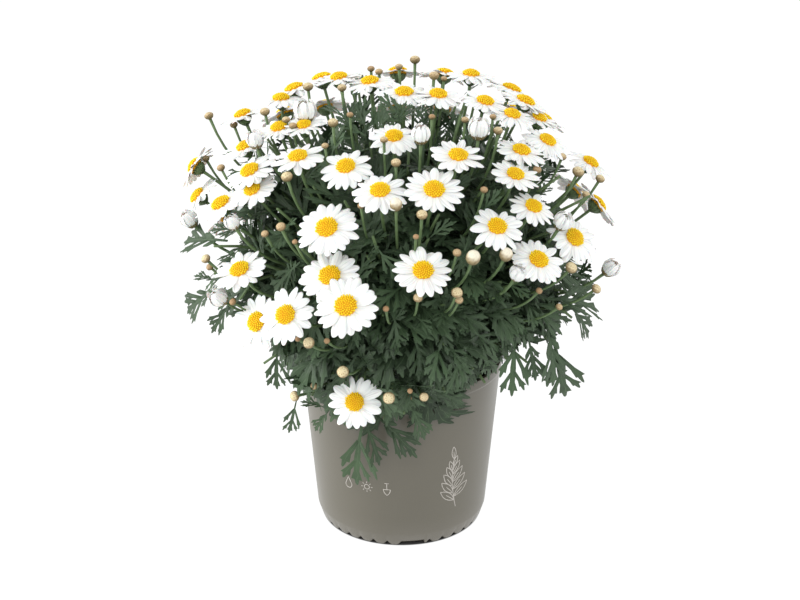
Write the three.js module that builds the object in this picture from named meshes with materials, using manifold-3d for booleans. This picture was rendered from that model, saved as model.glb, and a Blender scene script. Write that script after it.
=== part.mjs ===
// Potted marguerite daisy: a tapered plastic nursery pot, its soil, seven leafy stems and some fifty blooms.
// Millimetres, +Z up. The origin is the middle of the pot's base, and the side that faces the viewer is -Y.
import * as THREE from "three";
import { mergeVertices } from "three/addons/utils/BufferGeometryUtils.js";
import Module from "manifold-3d";

const wasm = await Module();
wasm.setup();

// Driving dimensions of the pot and the soil
const RIM_RADIUS = 71.5;
const FOOT_RADIUS = 59;
const POT_HEIGHT = 123;
const WALL = 1.7;
const FLOOR = 1.8;
const RIM_BAND = 6;
const FOOT_LIFT = 3;
const FOOT_BOSS = 24;
const FOOT_RING = 7;
const POT_SIDES = 40;
const SCALLOP_LIFT = 1.8;
const DRAIN_GAP = { wide: 17, high: 2.4, turns: [-82, 8, 98, 188] };
const SOIL_TOP = 113;
const GAP = 0.3;

// Driving dimensions of the bush: the dome that the blooms lie on, and the smaller core under it
const DOME = { z: 215, across: 145, up: 112 };
const CORE = { z: 190, across: 80, up: 64 };
const STEMS = 7;
const STEM_TURN = -116;
const STEM_RADIUS = 4;
const STEM_RING = 24;
const STEM_DEPTH = 24;
const STEM_END = { across: 50, z: 160 };
const SECTOR = { reach: 260, tall: 400 };
const STALK_RADIUS = 1.2;
const NODES = 60;
const STALK_SIDES = 4;
const LONG_STALK = 84;
const SOIL_SIDES = 24;
const DISC_SIDES = 7;
const PETALS = 9;
const HUB_DEPTH = 2.6;
const RAY_SHARES = { seat: 0.35, hub: 0.27, notch: 0.58, blunt: 0.42, cap: 0.7, shoulder: 0.8 };
const DISC_SHARE = 0.33;
const DISC_HIGH = 3.9;
const CROWN = 142;
const FAR_OVERLAP = 2.2;
const LEAF_FOLD = 0.25;
const LEAF_SPREAD = 36;
const LEAF_ROOT = 0.84;
const LEAF_TRIALS = 24;

// How far leaves keep from the pot, and rays from the stalks near them
const POT_CLEAR = 0.6;
const STALK_CLEAR = 0.4;
const NEAR = 90;

// Where the viewer stands, which sets the blooms that are placed by sight
const VIEW = { y: -1048, z: 577, pitch: 21.52, focal: 1600, px: 401.5, py: 300 };

const degrees = THREE.MathUtils.degToRad;

// A seeded draw between low and high, the same in each run
function draws(seed) {
  let state = seed;
  return (low, high) => {
    state = (state + 0x6d2b79f5) | 0;
    let mixed = Math.imul(state ^ (state >>> 15), 1 | state);
    mixed = (mixed + Math.imul(mixed ^ (mixed >>> 7), 61 | mixed)) ^ mixed;
    return low + ((high - low) * ((mixed ^ (mixed >>> 14)) >>> 0)) / 4294967296;
  };
}

// Open blooms that the viewer sees: the middle's pixel, the width in pixels, how far the face looks up
// from level in degrees, how deep in the dome it lies (1 on the dome), and in some how far it looks aside
const SEEN_BLOOMS = [
  { px: 346, py: 306, wide: 68, up: 42, shell: 1.03 },
  { px: 286, py: 315, wide: 62, up: 38, shell: 1.05 },
  { px: 257, py: 322, wide: 62, up: 30, shell: 0.97 },
  { px: 330, py: 276, wide: 66, up: 52, shell: 0.93 },
  { px: 327, py: 228, wide: 67, up: 52, shell: 1.0 },
  { px: 240, py: 270, wide: 60, up: 62, shell: 1.0 },
  { px: 221, py: 204, wide: 60, up: 60, shell: 1.0, aside: -12 },
  { px: 250, py: 171, wide: 58, up: 62, shell: 0.98 },
  { px: 298, py: 157, wide: 58, up: 76, shell: 1.0 },
  { px: 346, py: 167, wide: 57, up: 63, shell: 0.96 },
  { px: 380, py: 191, wide: 60, up: 66, shell: 1.0 },
  { px: 434, py: 190, wide: 63, up: 58, shell: 1.0 },
  { px: 423, py: 271, wide: 63, up: 55, shell: 1.0 },
  { px: 355, py: 402, wide: 57, up: 27, shell: 1.035 },
  { px: 497, py: 227, wide: 58, up: 56, shell: 1.0, aside: -8 },
  { px: 538, py: 260, wide: 60, up: 54, shell: 1.02 },
  { px: 574, py: 238, wide: 58, up: 44, shell: 0.97, aside: -12 },
  { px: 533, py: 207, wide: 52, up: 62, shell: 0.98 },
  { px: 515, py: 175, wide: 53, up: 68, shell: 1.0 },
  { px: 521, py: 151, wide: 55, up: 74, shell: 0.98 },
  { px: 458, py: 156, wide: 58, up: 72, shell: 1.0 },
  { px: 438, py: 95, wide: 53, up: 80, shell: 0.97 },
  { px: 485, py: 102, wide: 52, up: 76, shell: 0.99 },
  { px: 512, py: 115, wide: 50, up: 74, shell: 1.01 },
  { px: 471, py: 75, wide: 50, up: 84, shell: 1.0 },
  { px: 243, py: 115, wide: 50, up: 70, shell: 1.0 },
  { px: 279, py: 128, wide: 50, up: 74, shell: 0.98 },
  { px: 339, py: 78, wide: 50, up: 80, shell: 1.0 },
  { px: 370, py: 82, wide: 52, up: 84, shell: 0.97 },
  { px: 245, py: 147, wide: 52, up: 66, shell: 0.94 },
  { px: 195, py: 166, wide: 50, up: 30, shell: 1.0, aside: -14 },
  { px: 590, py: 163, wide: 50, up: 60, shell: 1.0 },
  { px: 547, py: 141, wide: 52, up: 62, shell: 1.0 },
  { px: 404, py: 93, wide: 54, up: 82, shell: 0.95 },
  { px: 281, py: 99, wide: 50, up: 88, shell: 1.0 },
  { px: 198, py: 196, wide: 52, up: 40, shell: 0.97 },
  { px: 394, py: 137, wide: 52, up: 70, shell: 0.93 },
  { px: 253, py: 190, wide: 52, up: 56, shell: 0.95 },
  { px: 304, py: 126, wide: 44, up: 76, shell: 0.97 },
  { px: 539, py: 119, wide: 44, up: 70, shell: 0.97 },
];

// Pairs of blooms on the far side: the turn of the pair's middle and its rise on the dome, in degrees
const FAR_PAIRS = [
  { turn: 22, rise: 4 }, { turn: 62, rise: -6 }, { turn: 104, rise: 3 }, { turn: 146, rise: -5 },
  { turn: 40, rise: 34 }, { turn: 84, rise: 30 }, { turn: 126, rise: 33 }, { turn: 80, rise: 56 },
  { turn: 12, rise: 55 }, { turn: 150, rise: 58 },
];

// Half-open buds and closed buds that the viewer sees: pixel and width in millimetres
const SEEN_HALF_OPEN = [
  { px: 305, py: 110, wide: 15 }, { px: 421, py: 134, wide: 12 }, { px: 479, py: 128, wide: 14 },
  { px: 255, py: 139, wide: 12 }, { px: 232, py: 222, wide: 10 }, { px: 189, py: 219, wide: 12 },
  { px: 218, py: 297, wide: 13 }, { px: 518, py: 273, wide: 11 }, { px: 563, py: 221, wide: 12 },
  { px: 611, py: 268, wide: 12 },
];
const SEEN_BUDS = [
  { px: 209, py: 116, wide: 7 }, { px: 265, py: 112, wide: 7 }, { px: 308, py: 87, wide: 8 },
  { px: 342, py: 88, wide: 7 }, { px: 399, py: 67, wide: 6 }, { px: 415, py: 60, wide: 8 },
  { px: 434, py: 76, wide: 7 }, { px: 333, py: 123, wide: 7 }, { px: 287, py: 177, wide: 8 },
  { px: 281, py: 227, wide: 7 }, { px: 396, py: 205, wide: 9 }, { px: 498, py: 131, wide: 7 },
  { px: 422, py: 215, wide: 7 }, { px: 578, py: 172, wide: 8 }, { px: 600, py: 179, wide: 7 },
  { px: 206, py: 259, wide: 7 }, { px: 309, py: 343, wide: 8 }, { px: 343, py: 372, wide: 8 },
  { px: 295, py: 396, wide: 8 }, { px: 389, py: 398, wide: 8 }, { px: 424, py: 397, wide: 7 },
  { px: 473, py: 258, wide: 10 }, { px: 457, py: 293, wide: 8 }, { px: 506, py: 255, wide: 8 },
  { px: 571, py: 268, wide: 8 }, { px: 596, py: 289, wide: 7 },
];

// Leaves stand in rows round the core: how far up the core the row starts, how steeply a leaf leaves it,
// how far it bends down over its length, its length, and how many each stem carries
const LEAF_ROWS = [
  { at: -50, rise: -14, bend: 66, length: 76, count: 2 },
  { at: -36, rise: 0, bend: 76, length: 78, count: 3 },
  { at: -18, rise: 12, bend: 58, length: 70, count: 2 },
  { at: -2, rise: 24, bend: 46, length: 64, count: 2 },
  { at: 16, rise: 38, bend: 40, length: 60, count: 2 },
  { at: 38, rise: 52, bend: 30, length: 54, count: 2 },
  { at: 64, rise: 70, bend: 20, length: 50, count: 1 },
];

const plastic = new THREE.MeshStandardMaterial({ color: 0x8a8278, roughness: 0.55, metalness: 0 });
const peat = new THREE.MeshStandardMaterial({ color: 0x3a2c22, roughness: 0.95, metalness: 0 });
const green = new THREE.MeshStandardMaterial({ color: 0x41604a, roughness: 0.6, metalness: 0 });
const white = new THREE.MeshStandardMaterial({ color: 0xf8f8f4, roughness: 0.6, metalness: 0 });
const yellow = new THREE.MeshStandardMaterial({ color: 0xf5b31a, roughness: 0.8, metalness: 0 });

// A closed geometry as a solid, and a solid as a named mesh
function solidOf(geometry) {
  geometry.deleteAttribute("normal");
  geometry.deleteAttribute("uv");
  const merged = mergeVertices(geometry, 1e-4);
  const index = merged.index.array;
  const corners = [];
  for (let i = 0; i < index.length; i += 3) {
    const [a, b, c] = [index[i], index[i + 1], index[i + 2]];
    if (a !== b && b !== c && c !== a) corners.push(a, b, c);
  }
  return new wasm.Manifold(new wasm.Mesh({
    numProp: 3,
    vertProperties: new Float32Array(merged.attributes.position.array),
    triVerts: new Uint32Array(corners),
  }));
}

function meshOf(name, solid, material) {
  const found = solid.simplify(0.03).getMesh();
  const geometry = new THREE.BufferGeometry();
  geometry.setAttribute("position", new THREE.BufferAttribute(new Float32Array(found.vertProperties), 3));
  geometry.setIndex(new THREE.BufferAttribute(new Uint32Array(found.triVerts), 1));
  geometry.computeVertexNormals();
  const mesh = new THREE.Mesh(geometry, material);
  mesh.name = name;
  return mesh;
}

const joined = (solids) => wasm.Manifold.union(solids);

// The largest of the bodies that cuts have left, so that no loose scrap stays
function largestBody(solid) {
  return solid.decompose().reduce((best, body) => (body.volume() > best.volume() ? body : best));
}

// A profile of [radius, height] pairs turned about the Z axis
function turned(profile, sides) {
  const points = profile.map(([radius, height]) => new THREE.Vector2(radius, height));
  return new THREE.LatheGeometry(points, sides).rotateX(Math.PI / 2);
}

// Moves each vertex of a geometry by a function of its place
function reshape(geometry, move) {
  const place = geometry.attributes.position;
  const point = new THREE.Vector3();
  for (let i = 0; i < place.count; i += 1) {
    move(point.fromBufferAttribute(place, i));
    place.setXYZ(i, point.x, point.y, point.z);
  }
  return geometry;
}

// The outward level direction at a turn about the Z axis, and the level direction across it
const outward = (turn) => new THREE.Vector3(Math.cos(turn), Math.sin(turn), 0);
const across = (turn) => new THREE.Vector3(-Math.sin(turn), Math.cos(turn), 0);

// The pot, with its rim band, a raised base channel and a scalloped foot
const potOutside = [
  [FOOT_RADIUS + 2.4, 10],
  [RIM_RADIUS - 1, POT_HEIGHT - RIM_BAND - 1],
  [RIM_RADIUS, POT_HEIGHT - RIM_BAND],
  [RIM_RADIUS, POT_HEIGHT],
];
const potInside = [
  [RIM_RADIUS - WALL - 1, POT_HEIGHT],
  [RIM_RADIUS - WALL - 1, POT_HEIGHT - RIM_BAND],
  [FOOT_RADIUS + 2.4 - WALL, 10],
  [FOOT_RADIUS - WALL - 1, FOOT_LIFT + FLOOR],
];

function makePot() {
  const ringInside = FOOT_RADIUS - FOOT_RING;
  const shell = turned([
    [0, 0], [FOOT_BOSS, 0], [FOOT_BOSS + 2, FOOT_LIFT], [ringInside - 2, FOOT_LIFT], [ringInside, 0],
    [FOOT_RADIUS - 2, 0], [FOOT_RADIUS, 1], ...potOutside, ...potInside, [0, FOOT_LIFT + FLOOR],
  ], POT_SIDES);
  const side = (2 * Math.PI) / POT_SIDES;
  reshape(shell, (point) => {
    const onEdge = Math.abs(Math.hypot(point.x, point.y) - FOOT_RADIUS) < 0.01 && point.z < 2;
    const step = Math.round(Math.atan2(point.y, point.x) / side);
    if (onEdge && step % 2 !== 0) point.z += SCALLOP_LIFT;
  });
  const gaps = DRAIN_GAP.turns.map((turn) => solidOf(
    new THREE.BoxGeometry(FOOT_RING + 8, DRAIN_GAP.wide, DRAIN_GAP.high * 2)
      .translate(FOOT_RADIUS - FOOT_RING / 2, 0, 0)
      .rotateZ(degrees(turn)),
  ));
  return solidOf(shell).subtract(joined(gaps));
}

// The stems' places: each stands in the middle of its own sector of the bush
const stemTurn = (stem) => degrees(STEM_TURN + (360 / STEMS) * (stem + 0.5));

function stemOfTurn(turn) {
  const sector = (2 * Math.PI) / STEMS;
  const from = turn - degrees(STEM_TURN);
  return Math.floor((((from % (2 * Math.PI)) + 2 * Math.PI) % (2 * Math.PI)) / sector);
}

// The soil, a block turned to the pot's inside, with a blind hole for each stem
function makeSoil() {
  const wallAt = (height) => {
    const [[topRadius, topHeight], [lowRadius, lowHeight]] = [potInside[1], potInside[2]];
    return lowRadius + ((topRadius - lowRadius) * (height - lowHeight)) / (topHeight - lowHeight);
  };
  const block = turned([
    [0, FOOT_LIFT + FLOOR + GAP], [FOOT_RADIUS - WALL - 1 - GAP, FOOT_LIFT + FLOOR + GAP],
    [wallAt(10) - GAP, 10], [wallAt(SOIL_TOP - 2) - GAP, SOIL_TOP - 2], [48, SOIL_TOP], [0, SOIL_TOP + 1],
  ], SOIL_SIDES);
  const holes = Array.from({ length: STEMS }, (_, stem) => stemRod(stem, GAP + 0.1));
  return solidOf(block).subtract(joined(holes));
}

// The point where the sight line of a pixel meets the dome, or comes nearest to it
function sighted(px, py, shell) {
  const pitch = degrees(VIEW.pitch);
  const line = new THREE.Vector3(0, Math.cos(pitch), -Math.sin(pitch))
    .addScaledVector(new THREE.Vector3(1, 0, 0), (px - VIEW.px) / VIEW.focal)
    .addScaledVector(new THREE.Vector3(0, Math.sin(pitch), Math.cos(pitch)), (VIEW.py - py) / VIEW.focal);
  const size = new THREE.Vector3(DOME.across, DOME.across, DOME.up).multiplyScalar(shell);
  const start = new THREE.Vector3(0, VIEW.y, VIEW.z - DOME.z).divide(size);
  const way = line.clone().divide(size);
  const [a, b, c] = [way.dot(way), start.dot(way), start.dot(start) - 1];
  const t = (-b - Math.sqrt(Math.max(b * b - a * c, 0))) / a;
  return new THREE.Vector3(0, VIEW.y, VIEW.z).addScaledVector(line, t);
}

// How many millimetres a pixel spans at a point
function pixelAt(point) {
  const pitch = degrees(VIEW.pitch);
  const depth = (point.y - VIEW.y) * Math.cos(pitch) + (VIEW.z - point.z) * Math.sin(pitch);
  return depth / VIEW.focal;
}

// A bloom's own frame: its middle, the way it faces, and the two directions across its face
function bloomAt(place, radius, up, aside = 0) {
  const turn = Math.atan2(place.y, place.x);
  const face = outward(turn + aside).multiplyScalar(Math.cos(up)).setZ(Math.sin(up));
  return { place, radius, turn, face, side: across(turn + aside) };
}

function placeBlooms() {
  const blooms = SEEN_BLOOMS.map(({ px, py, wide, up, shell, aside = 0 }) => {
    const place = sighted(px, py, shell);
    return bloomAt(place, (wide * pixelAt(place)) / 2, degrees(up), degrees(aside));
  });
  const draw = draws(41);
  for (const pair of FAR_PAIRS) {
    const rise = degrees(pair.rise);
    for (const end of [-1, 1]) {
      const radius = draw(18.5, 20.5);
      const reach = DOME.across * Math.cos(rise);
      const turn = degrees(pair.turn) + (end * (radius - FAR_OVERLAP)) / reach;
      const place = outward(turn).multiplyScalar(reach).setZ(DOME.z + DOME.up * Math.sin(rise));
      blooms.push(bloomAt(place, radius, rise * 0.6 + degrees(34)));
    }
  }
  return blooms;
}

// Places a geometry made about the Z axis on a bloom's or bud's frame
function onFace(geometry, { place, face, side }) {
  const basis = new THREE.Matrix4().makeBasis(side.clone().cross(face), side, face).setPosition(place);
  return geometry.applyMatrix4(basis);
}

// The ring of rays: one thin star-shaped plate with a hub under it. Each ray's edge is a notch, a blunt tip
// of two points and the next notch, and its underside falls to the hub. A domed plate has its disc on it.
function raysOf(bloom, spin, droop, domed) {
  const { radius } = bloom;
  const half = Math.PI / PETALS;
  const { seat: seatShare, hub, notch: notchShare, blunt, cap: capShare, shoulder } = RAY_SHARES;
  const seat = seatShare * radius;
  const at = (turn, distance, height) => [
    Math.cos(turn + spin) * distance, Math.sin(turn + spin) * distance, height,
  ];
  const drop = (distance) => -droop * ((distance - seat) / (radius - seat)) ** 2;
  const points = [];
  for (let petal = 0; petal < PETALS; petal += 1) {
    const middle = 2 * half * petal;
    points.push(at(middle - half, seat, 0), at(middle - half, hub * radius, -HUB_DEPTH));
    points.push(at(middle - half, notchShare * radius, drop(notchShare * radius)));
    points.push(at(middle - blunt * half, radius, drop(radius)));
    points.push(at(middle + blunt * half, radius, drop(radius)));
    points.push(at(middle - half, DISC_SHARE * capShare * radius, DISC_HIGH * shoulder));
  }
  const crown = points.length;
  points.push([0, 0, DISC_HIGH]);
  const faces = [];
  for (let petal = 0; petal < PETALS; petal += 1) {
    const six = (first) => [0, 1, 2, 3, 4, 5].map((k) => first * 6 + k);
    const [top, low, notch, left, right, cap] = six(petal);
    const [topNext, lowNext, notchNext, , , capNext] = six((petal + 1) % PETALS);
    faces.push(top, notch, left, top, left, right, top, right, topNext, right, notchNext, topNext);
    faces.push(low, left, notch, low, right, left, low, lowNext, right, lowNext, notchNext, right);
    if (petal > 0 && petal < PETALS - 1) faces.push(1, lowNext, low);
    if (domed) faces.push(top, topNext, capNext, top, capNext, cap, cap, capNext, crown);
    else if (petal > 0 && petal < PETALS - 1) faces.push(0, top, topNext);
  }
  const used = domed ? points : points.map((point, i) => (i === crown || i % 6 === 5 ? points[0] : point));
  const geometry = new THREE.BufferGeometry();
  geometry.setAttribute("position", new THREE.Float32BufferAttribute(used.flat(), 3));
  geometry.setIndex(faces);
  return solidOf(onFace(geometry, bloom));
}

// The domed disc that sits on the rays
function discOf(bloom) {
  const wide = DISC_SHARE * bloom.radius;
  const shoulder = [wide * RAY_SHARES.cap, DISC_HIGH * RAY_SHARES.shoulder];
  const dome = turned([[0, GAP], [wide, GAP], shoulder, [0, DISC_HIGH]], DISC_SIDES);
  return solidOf(onFace(dome, bloom));
}

// The room that leaves keep clear round a bloom
function roomOf(bloom) {
  const edge = bloom.radius + 1;
  const room = turned([[0, -5.6], [edge, -5], [edge, 2], [bloom.radius * 0.45, 5.5], [0, 5.6]], 12);
  return solidOf(onFace(room, bloom));
}

// A stalk leaves the core and bends until it runs along the way that its bloom or bud faces. It is a profile
// of [radius, distance back from the tip] pairs, turned about the Z axis and then carried along that curve.
function stalkOf({ place, face, side }, back, thin, ends) {
  const tip = place.clone().addScaledVector(face, -back);
  const crown = new THREE.Vector3(0, 0, CROWN);
  const way = tip.clone().sub(crown).normalize();
  const size = new THREE.Vector3(CORE.across, CORE.across, CORE.up);
  const [line, start] = [way.clone().divide(size), new THREE.Vector3(0, 0, (CROWN - CORE.z) / CORE.up)];
  const [a, b, c] = [line.dot(line), line.dot(start), start.dot(start) - 1];
  const reach = (Math.sqrt(b * b - a * c) - b) / a - 9;
  const root = crown.clone().addScaledVector(way, Math.min(reach, tip.distanceTo(crown) - 14));
  const length = root.distanceTo(tip);
  const curve = new THREE.CubicBezierCurve3(
    root,
    root.clone().addScaledVector(way, length * 0.35),
    tip.clone().addScaledVector(face, -length * 0.42),
    tip,
  );
  const middle = length > LONG_STALK ? [[thin, length / 2]] : [];
  const profile = [[thin, 0], ...middle, ...ends.map(([radius, distance]) => [radius, length - distance])];
  const tube = turned([[0, 0], ...profile, [0, profile.at(-1)[1]]], STALK_SIDES);
  reshape(tube, (point) => {
    const along = Math.min(point.z / length, 1);
    const ahead = curve.getTangent(along);
    const centre = curve.getPoint(along).addScaledVector(ahead, Math.max(point.z - length, 0));
    const out = side.clone().cross(ahead).normalize();
    point.copy(centre.addScaledVector(out, point.x).addScaledVector(side, point.y));
  });
  return solidOf(tube);
}

// A bloom's stalk ends in the green cup that holds the rays. Grown, it is the room that other rays leave it.
function bloomStalk(bloom, grow = 0) {
  const ends = [[STALK_RADIUS + grow, 5], [0.3 * bloom.radius + grow, -grow]];
  return stalkOf(bloom, HUB_DEPTH + GAP, STALK_RADIUS + grow, ends);
}

// A closed bud is a globe on its stalk, and a half-open one is a small goblet
function budStalk(bud, grow = 0) {
  const { radius, open } = bud;
  const closed = [[STALK_RADIUS, 2], [radius, 2 - 1.1 * radius], [radius * 0.75, -1.75 * radius]];
  const goblet = [[STALK_RADIUS, 2], [radius * 0.62, 0], [radius, -1.5 * radius],
    [radius * 0.6, -1.6 * radius]];
  const ends = (open ? goblet : closed).map(([wide, distance]) => [wide + grow, distance]);
  ends.at(-1)[1] -= grow;
  return stalkOf(bud, radius, STALK_RADIUS * 0.85 + grow, ends);
}

// A leaf's half outline from the root to the tip, as shares of its length: the leaf stalk, then three
// forward lobes with the notches between them
const LEAF_EDGE = [
  [0, 0.02], [0.26, 0.022], [0.5, 0.2], [0.46, 0.05], [0.76, 0.23], [0.71, 0.05], [0.95, 0.13], [1, 0],
];
const LEAF_RIB = [0.24, 0.52, 0.79];

// The leaf is closed by a rib under its middle: L, R and K count the left edge's, the right edge's and the
// rib's corners. It is then bent along an arc in its own upright plane.
function leafOf({ root, turn, rise, bend, length }) {
  const last = LEAF_EDGE.length - 1;
  const left = LEAF_EDGE.map(([x, y]) => [x, y, 0]);
  const right = LEAF_EDGE.slice(0, last).map(([x, y]) => [x, -y, 0]);
  const rib = LEAF_RIB.map((x) => [x, 0, -0.028]);
  const L = (i) => i;
  const R = (i) => (i === last ? last : last + 1 + i);
  const K = (i) => last + 1 + last + i;
  const faces = [];
  const both = (make) => {
    make(L, (...f) => faces.push(...f));
    make(R, (...f) => faces.push(...f.reverse()));
  };
  both((E, add) => {
    add(E(1), E(3), E(2), E(3), E(5), E(4), E(5), E(7), E(6));
    add(E(0), E(1), K(0), E(1), E(2), K(0), E(2), E(3), K(0));
    add(K(0), E(3), K(1), E(3), E(4), K(1), E(4), E(5), K(1));
    add(K(1), E(5), K(2), E(5), E(6), K(2), E(6), E(7), K(2));
  });
  for (const i of [0, 1, 3]) {
    const j = i === 0 ? 1 : i + 2;
    faces.push(L(i), R(i), L(j), R(i), R(j), L(j));
  }
  faces.push(L(5), R(5), L(7), L(0), K(0), R(0));
  const geometry = new THREE.BufferGeometry();
  geometry.setAttribute("position", new THREE.Float32BufferAttribute([...left, ...right, ...rib].flat(), 3));
  geometry.setIndex(faces);
  const side = across(turn);
  reshape(geometry, (point) => {
    const angle = rise - bend * point.x;
    const [dx, dz] = bend < 0.02
      ? [point.x * Math.cos(rise), point.x * Math.sin(rise)]
      : [(Math.sin(rise) - Math.sin(angle)) / bend, (Math.cos(angle) - Math.cos(rise)) / bend];
    const lift = point.z + LEAF_FOLD * Math.abs(point.y);
    const out = dx - lift * Math.sin(angle);
    const upward = dz + lift * Math.cos(angle);
    const y = point.y;
    point.copy(root).addScaledVector(outward(turn), out * length).addScaledVector(side, y * length);
    point.z += upward * length;
  });
  return solidOf(geometry);
}

// Leaves of one stem. Each is drawn again, a little shorter, until it is clear of all that it may not touch.
function leavesOf(stem, core, sector, taken, draw) {
  const leaves = [];
  let filled = taken;
  LEAF_ROWS.forEach(({ at, rise, bend, length, count }, row) => {
    for (let i = 0; i < count; i += 1) {
      const spread = count > 1 ? (i / (count - 1) - 0.5) * LEAF_SPREAD : ((row % 2) - 0.5) * 12;
      for (let trial = 0; trial < LEAF_TRIALS; trial += 1) {
        const turn = stemTurn(stem) + degrees(spread * (1 - trial / LEAF_TRIALS) + draw(-5, 5));
        const level = degrees(at + draw(-7, 7));
        const root = outward(turn).multiplyScalar(LEAF_ROOT * CORE.across * Math.cos(level));
        root.z = CORE.z + LEAF_ROOT * CORE.up * Math.sin(level);
        const reach = length * draw(0.95, 1.06) * (1 - (0.5 * trial) / LEAF_TRIALS);
        const tilt = degrees(rise + draw(-9, 9));
        const leaf = leafOf({ root, turn, rise: tilt, bend: degrees(bend), length: reach });
        const free = leaf.subtract(core);
        if (free.subtract(sector).isEmpty() && free.intersect(filled).isEmpty()) {
          leaves.push(leaf);
          filled = filled.add(free);
          break;
        }
      }
    }
  });
  return leaves;
}

// The sector of the bush that a stem fills, drawn in by a hair so that neighbours stay apart
function sectorOf(stem) {
  const half = Math.PI / STEMS;
  const { reach, tall } = SECTOR;
  const apex = GAP / 2 / Math.sin(half);
  const shape = new THREE.Shape([
    new THREE.Vector2(apex, 0),
    new THREE.Vector2(apex + reach, -reach * Math.tan(half)),
    new THREE.Vector2(apex + reach, reach * Math.tan(half)),
  ]);
  const wedge = new THREE.ExtrudeGeometry(shape, { depth: tall, bevelEnabled: false });
  return solidOf(wedge.translate(0, 0, 20).rotateZ(stemTurn(stem)));
}

// The core: the packed inner leaves, as a ball whose corners stand out and in by seeded draws
function makeCore() {
  const ball = new THREE.IcosahedronGeometry(1, 2);
  ball.deleteAttribute("normal");
  ball.deleteAttribute("uv");
  const draw = draws(5);
  const size = new THREE.Vector3(CORE.across, CORE.across, CORE.up);
  const core = reshape(mergeVertices(ball, 1e-4), (point) => {
    point.multiply(size).multiplyScalar(1 + draw(-0.14, 0.16));
    point.z += CORE.z;
  });
  return solidOf(core);
}

// A stem: a bent, tapering rod from its hole in the soil into the core. Grown, it is that hole.
function stemRod(stem, grow = 0) {
  const turn = stemTurn(stem);
  const foot = outward(turn).multiplyScalar(STEM_RING).setZ(SOIL_TOP - STEM_DEPTH - grow);
  const curve = new THREE.QuadraticBezierCurve3(
    foot, foot.clone().setZ(SOIL_TOP + 20), outward(turn).multiplyScalar(STEM_END.across).setZ(STEM_END.z),
  );
  const rod = new THREE.CylinderGeometry(STEM_RADIUS * 0.7 + grow, STEM_RADIUS + grow, 1, 6, 4);
  rod.rotateX(Math.PI / 2).translate(0, 0, 0.5);
  const side = across(turn);
  reshape(rod, (point) => {
    const out = side.clone().cross(curve.getTangent(point.z)).normalize();
    const middle = curve.getPoint(point.z);
    point.copy(middle.addScaledVector(out, point.x).addScaledVector(side, point.y));
  });
  return solidOf(rod);
}

// The pot with its soil, a hair larger, which leaves that hang over the rim keep clear of
function potRoom() {
  const grow = POT_CLEAR;
  return solidOf(turned([
    [0, -5], [FOOT_RADIUS + grow, -5], ...potOutside.map(([radius, height]) => [radius + grow, height]),
    [RIM_RADIUS + grow, POT_HEIGHT + grow], [RIM_RADIUS - WALL - 1 - grow, POT_HEIGHT + grow],
    [RIM_RADIUS - WALL - 2 - grow, SOIL_TOP + 1.2], [STEM_RING + 12, SOIL_TOP + 1.4], [0, SOIL_TOP + 1.5],
  ], POT_SIDES));
}

const blooms = placeBlooms();
const buds = [
  ...SEEN_HALF_OPEN.map((bud) => ({ ...bud, open: true, shell: 1.02 })),
  ...SEEN_BUDS.map((bud) => ({ ...bud, open: false, shell: 1.03 })),
].map(({ px, py, wide, open, shell }) => {
  const place = sighted(px, py, shell);
  const rise = Math.atan2(place.z - CROWN, Math.hypot(place.x, place.y));
  return { ...bloomAt(place, wide / 2, Math.min(rise + degrees(22), degrees(86))), open };
});

const group = new THREE.Group();
group.name = "potted_marguerite_daisy";
group.add(meshOf("pot", makePot(), plastic));
group.add(meshOf("soil", makeSoil(), peat));

const draw = draws(7);
const stalks = blooms.map((bloom) => bloomStalk(bloom));
const budStalks = buds.map((bud) => budStalk(bud));
const sprigRooms = [
  ...blooms.map((bloom) => ({ owner: bloom, solid: bloomStalk(bloom, STALK_CLEAR) })),
  ...buds.map((bud) => ({ owner: bud, solid: budStalk(bud, STALK_CLEAR) })),
];
const clearOfOthers = (solid, bloom) => {
  const close = ({ owner }) => owner !== bloom && owner.place.distanceTo(bloom.place) < NEAR;
  const near = sprigRooms.filter(close);
  return solid.subtract(joined(near.map((room) => room.solid)));
};
const habits = blooms.map(() => [draw(0, 1), draw(0.5, 3.5)]);
const ringOf = (i, domed) => clearOfOthers(raysOf(blooms[i], ...habits[i], domed), blooms[i]);
const rays = blooms.map((_, i) => ringOf(i, true));
const discs = blooms.map((bloom) => discOf(bloom));
const keepClear = potRoom();
const core = makeCore().subtract(joined(blooms.map((bloom) => roomOf(bloom))));

for (let stem = 0; stem < STEMS; stem += 1) {
  const own = (list, things) => list.filter((_, i) => stemOfTurn(things[i].turn) === stem);
  const sector = sectorOf(stem);
  const sprigs = [...own(stalks, blooms), ...own(budStalks, buds)];
  const taken = joined([keepClear, ...blooms.map((bloom) => roomOf(bloom)), ...sprigs]);
  const leaves = leavesOf(stem, core, sector, taken, draw);
  const solid = joined([core, ...leaves, ...sprigs]).intersect(sector).add(stemRod(stem));
  group.add(meshOf(`leafy_stem_${stem + 1}`, largestBody(solid), green));
}

// Blooms whose rays touch are one body, with one name
const clusters = [];
rays.forEach((ray, i) => {
  const near = clusters.filter((cluster) => cluster.members.some((j) => rays[j].intersect(ray).volume() > 0));
  const members = [i, ...near.flatMap((cluster) => cluster.members)];
  near.forEach((cluster) => clusters.splice(clusters.indexOf(cluster), 1));
  clusters.push({ members: members.sort((a, b) => a - b) });
});
clusters.sort((a, b) => a.members[0] - b.members[0]);

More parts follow.
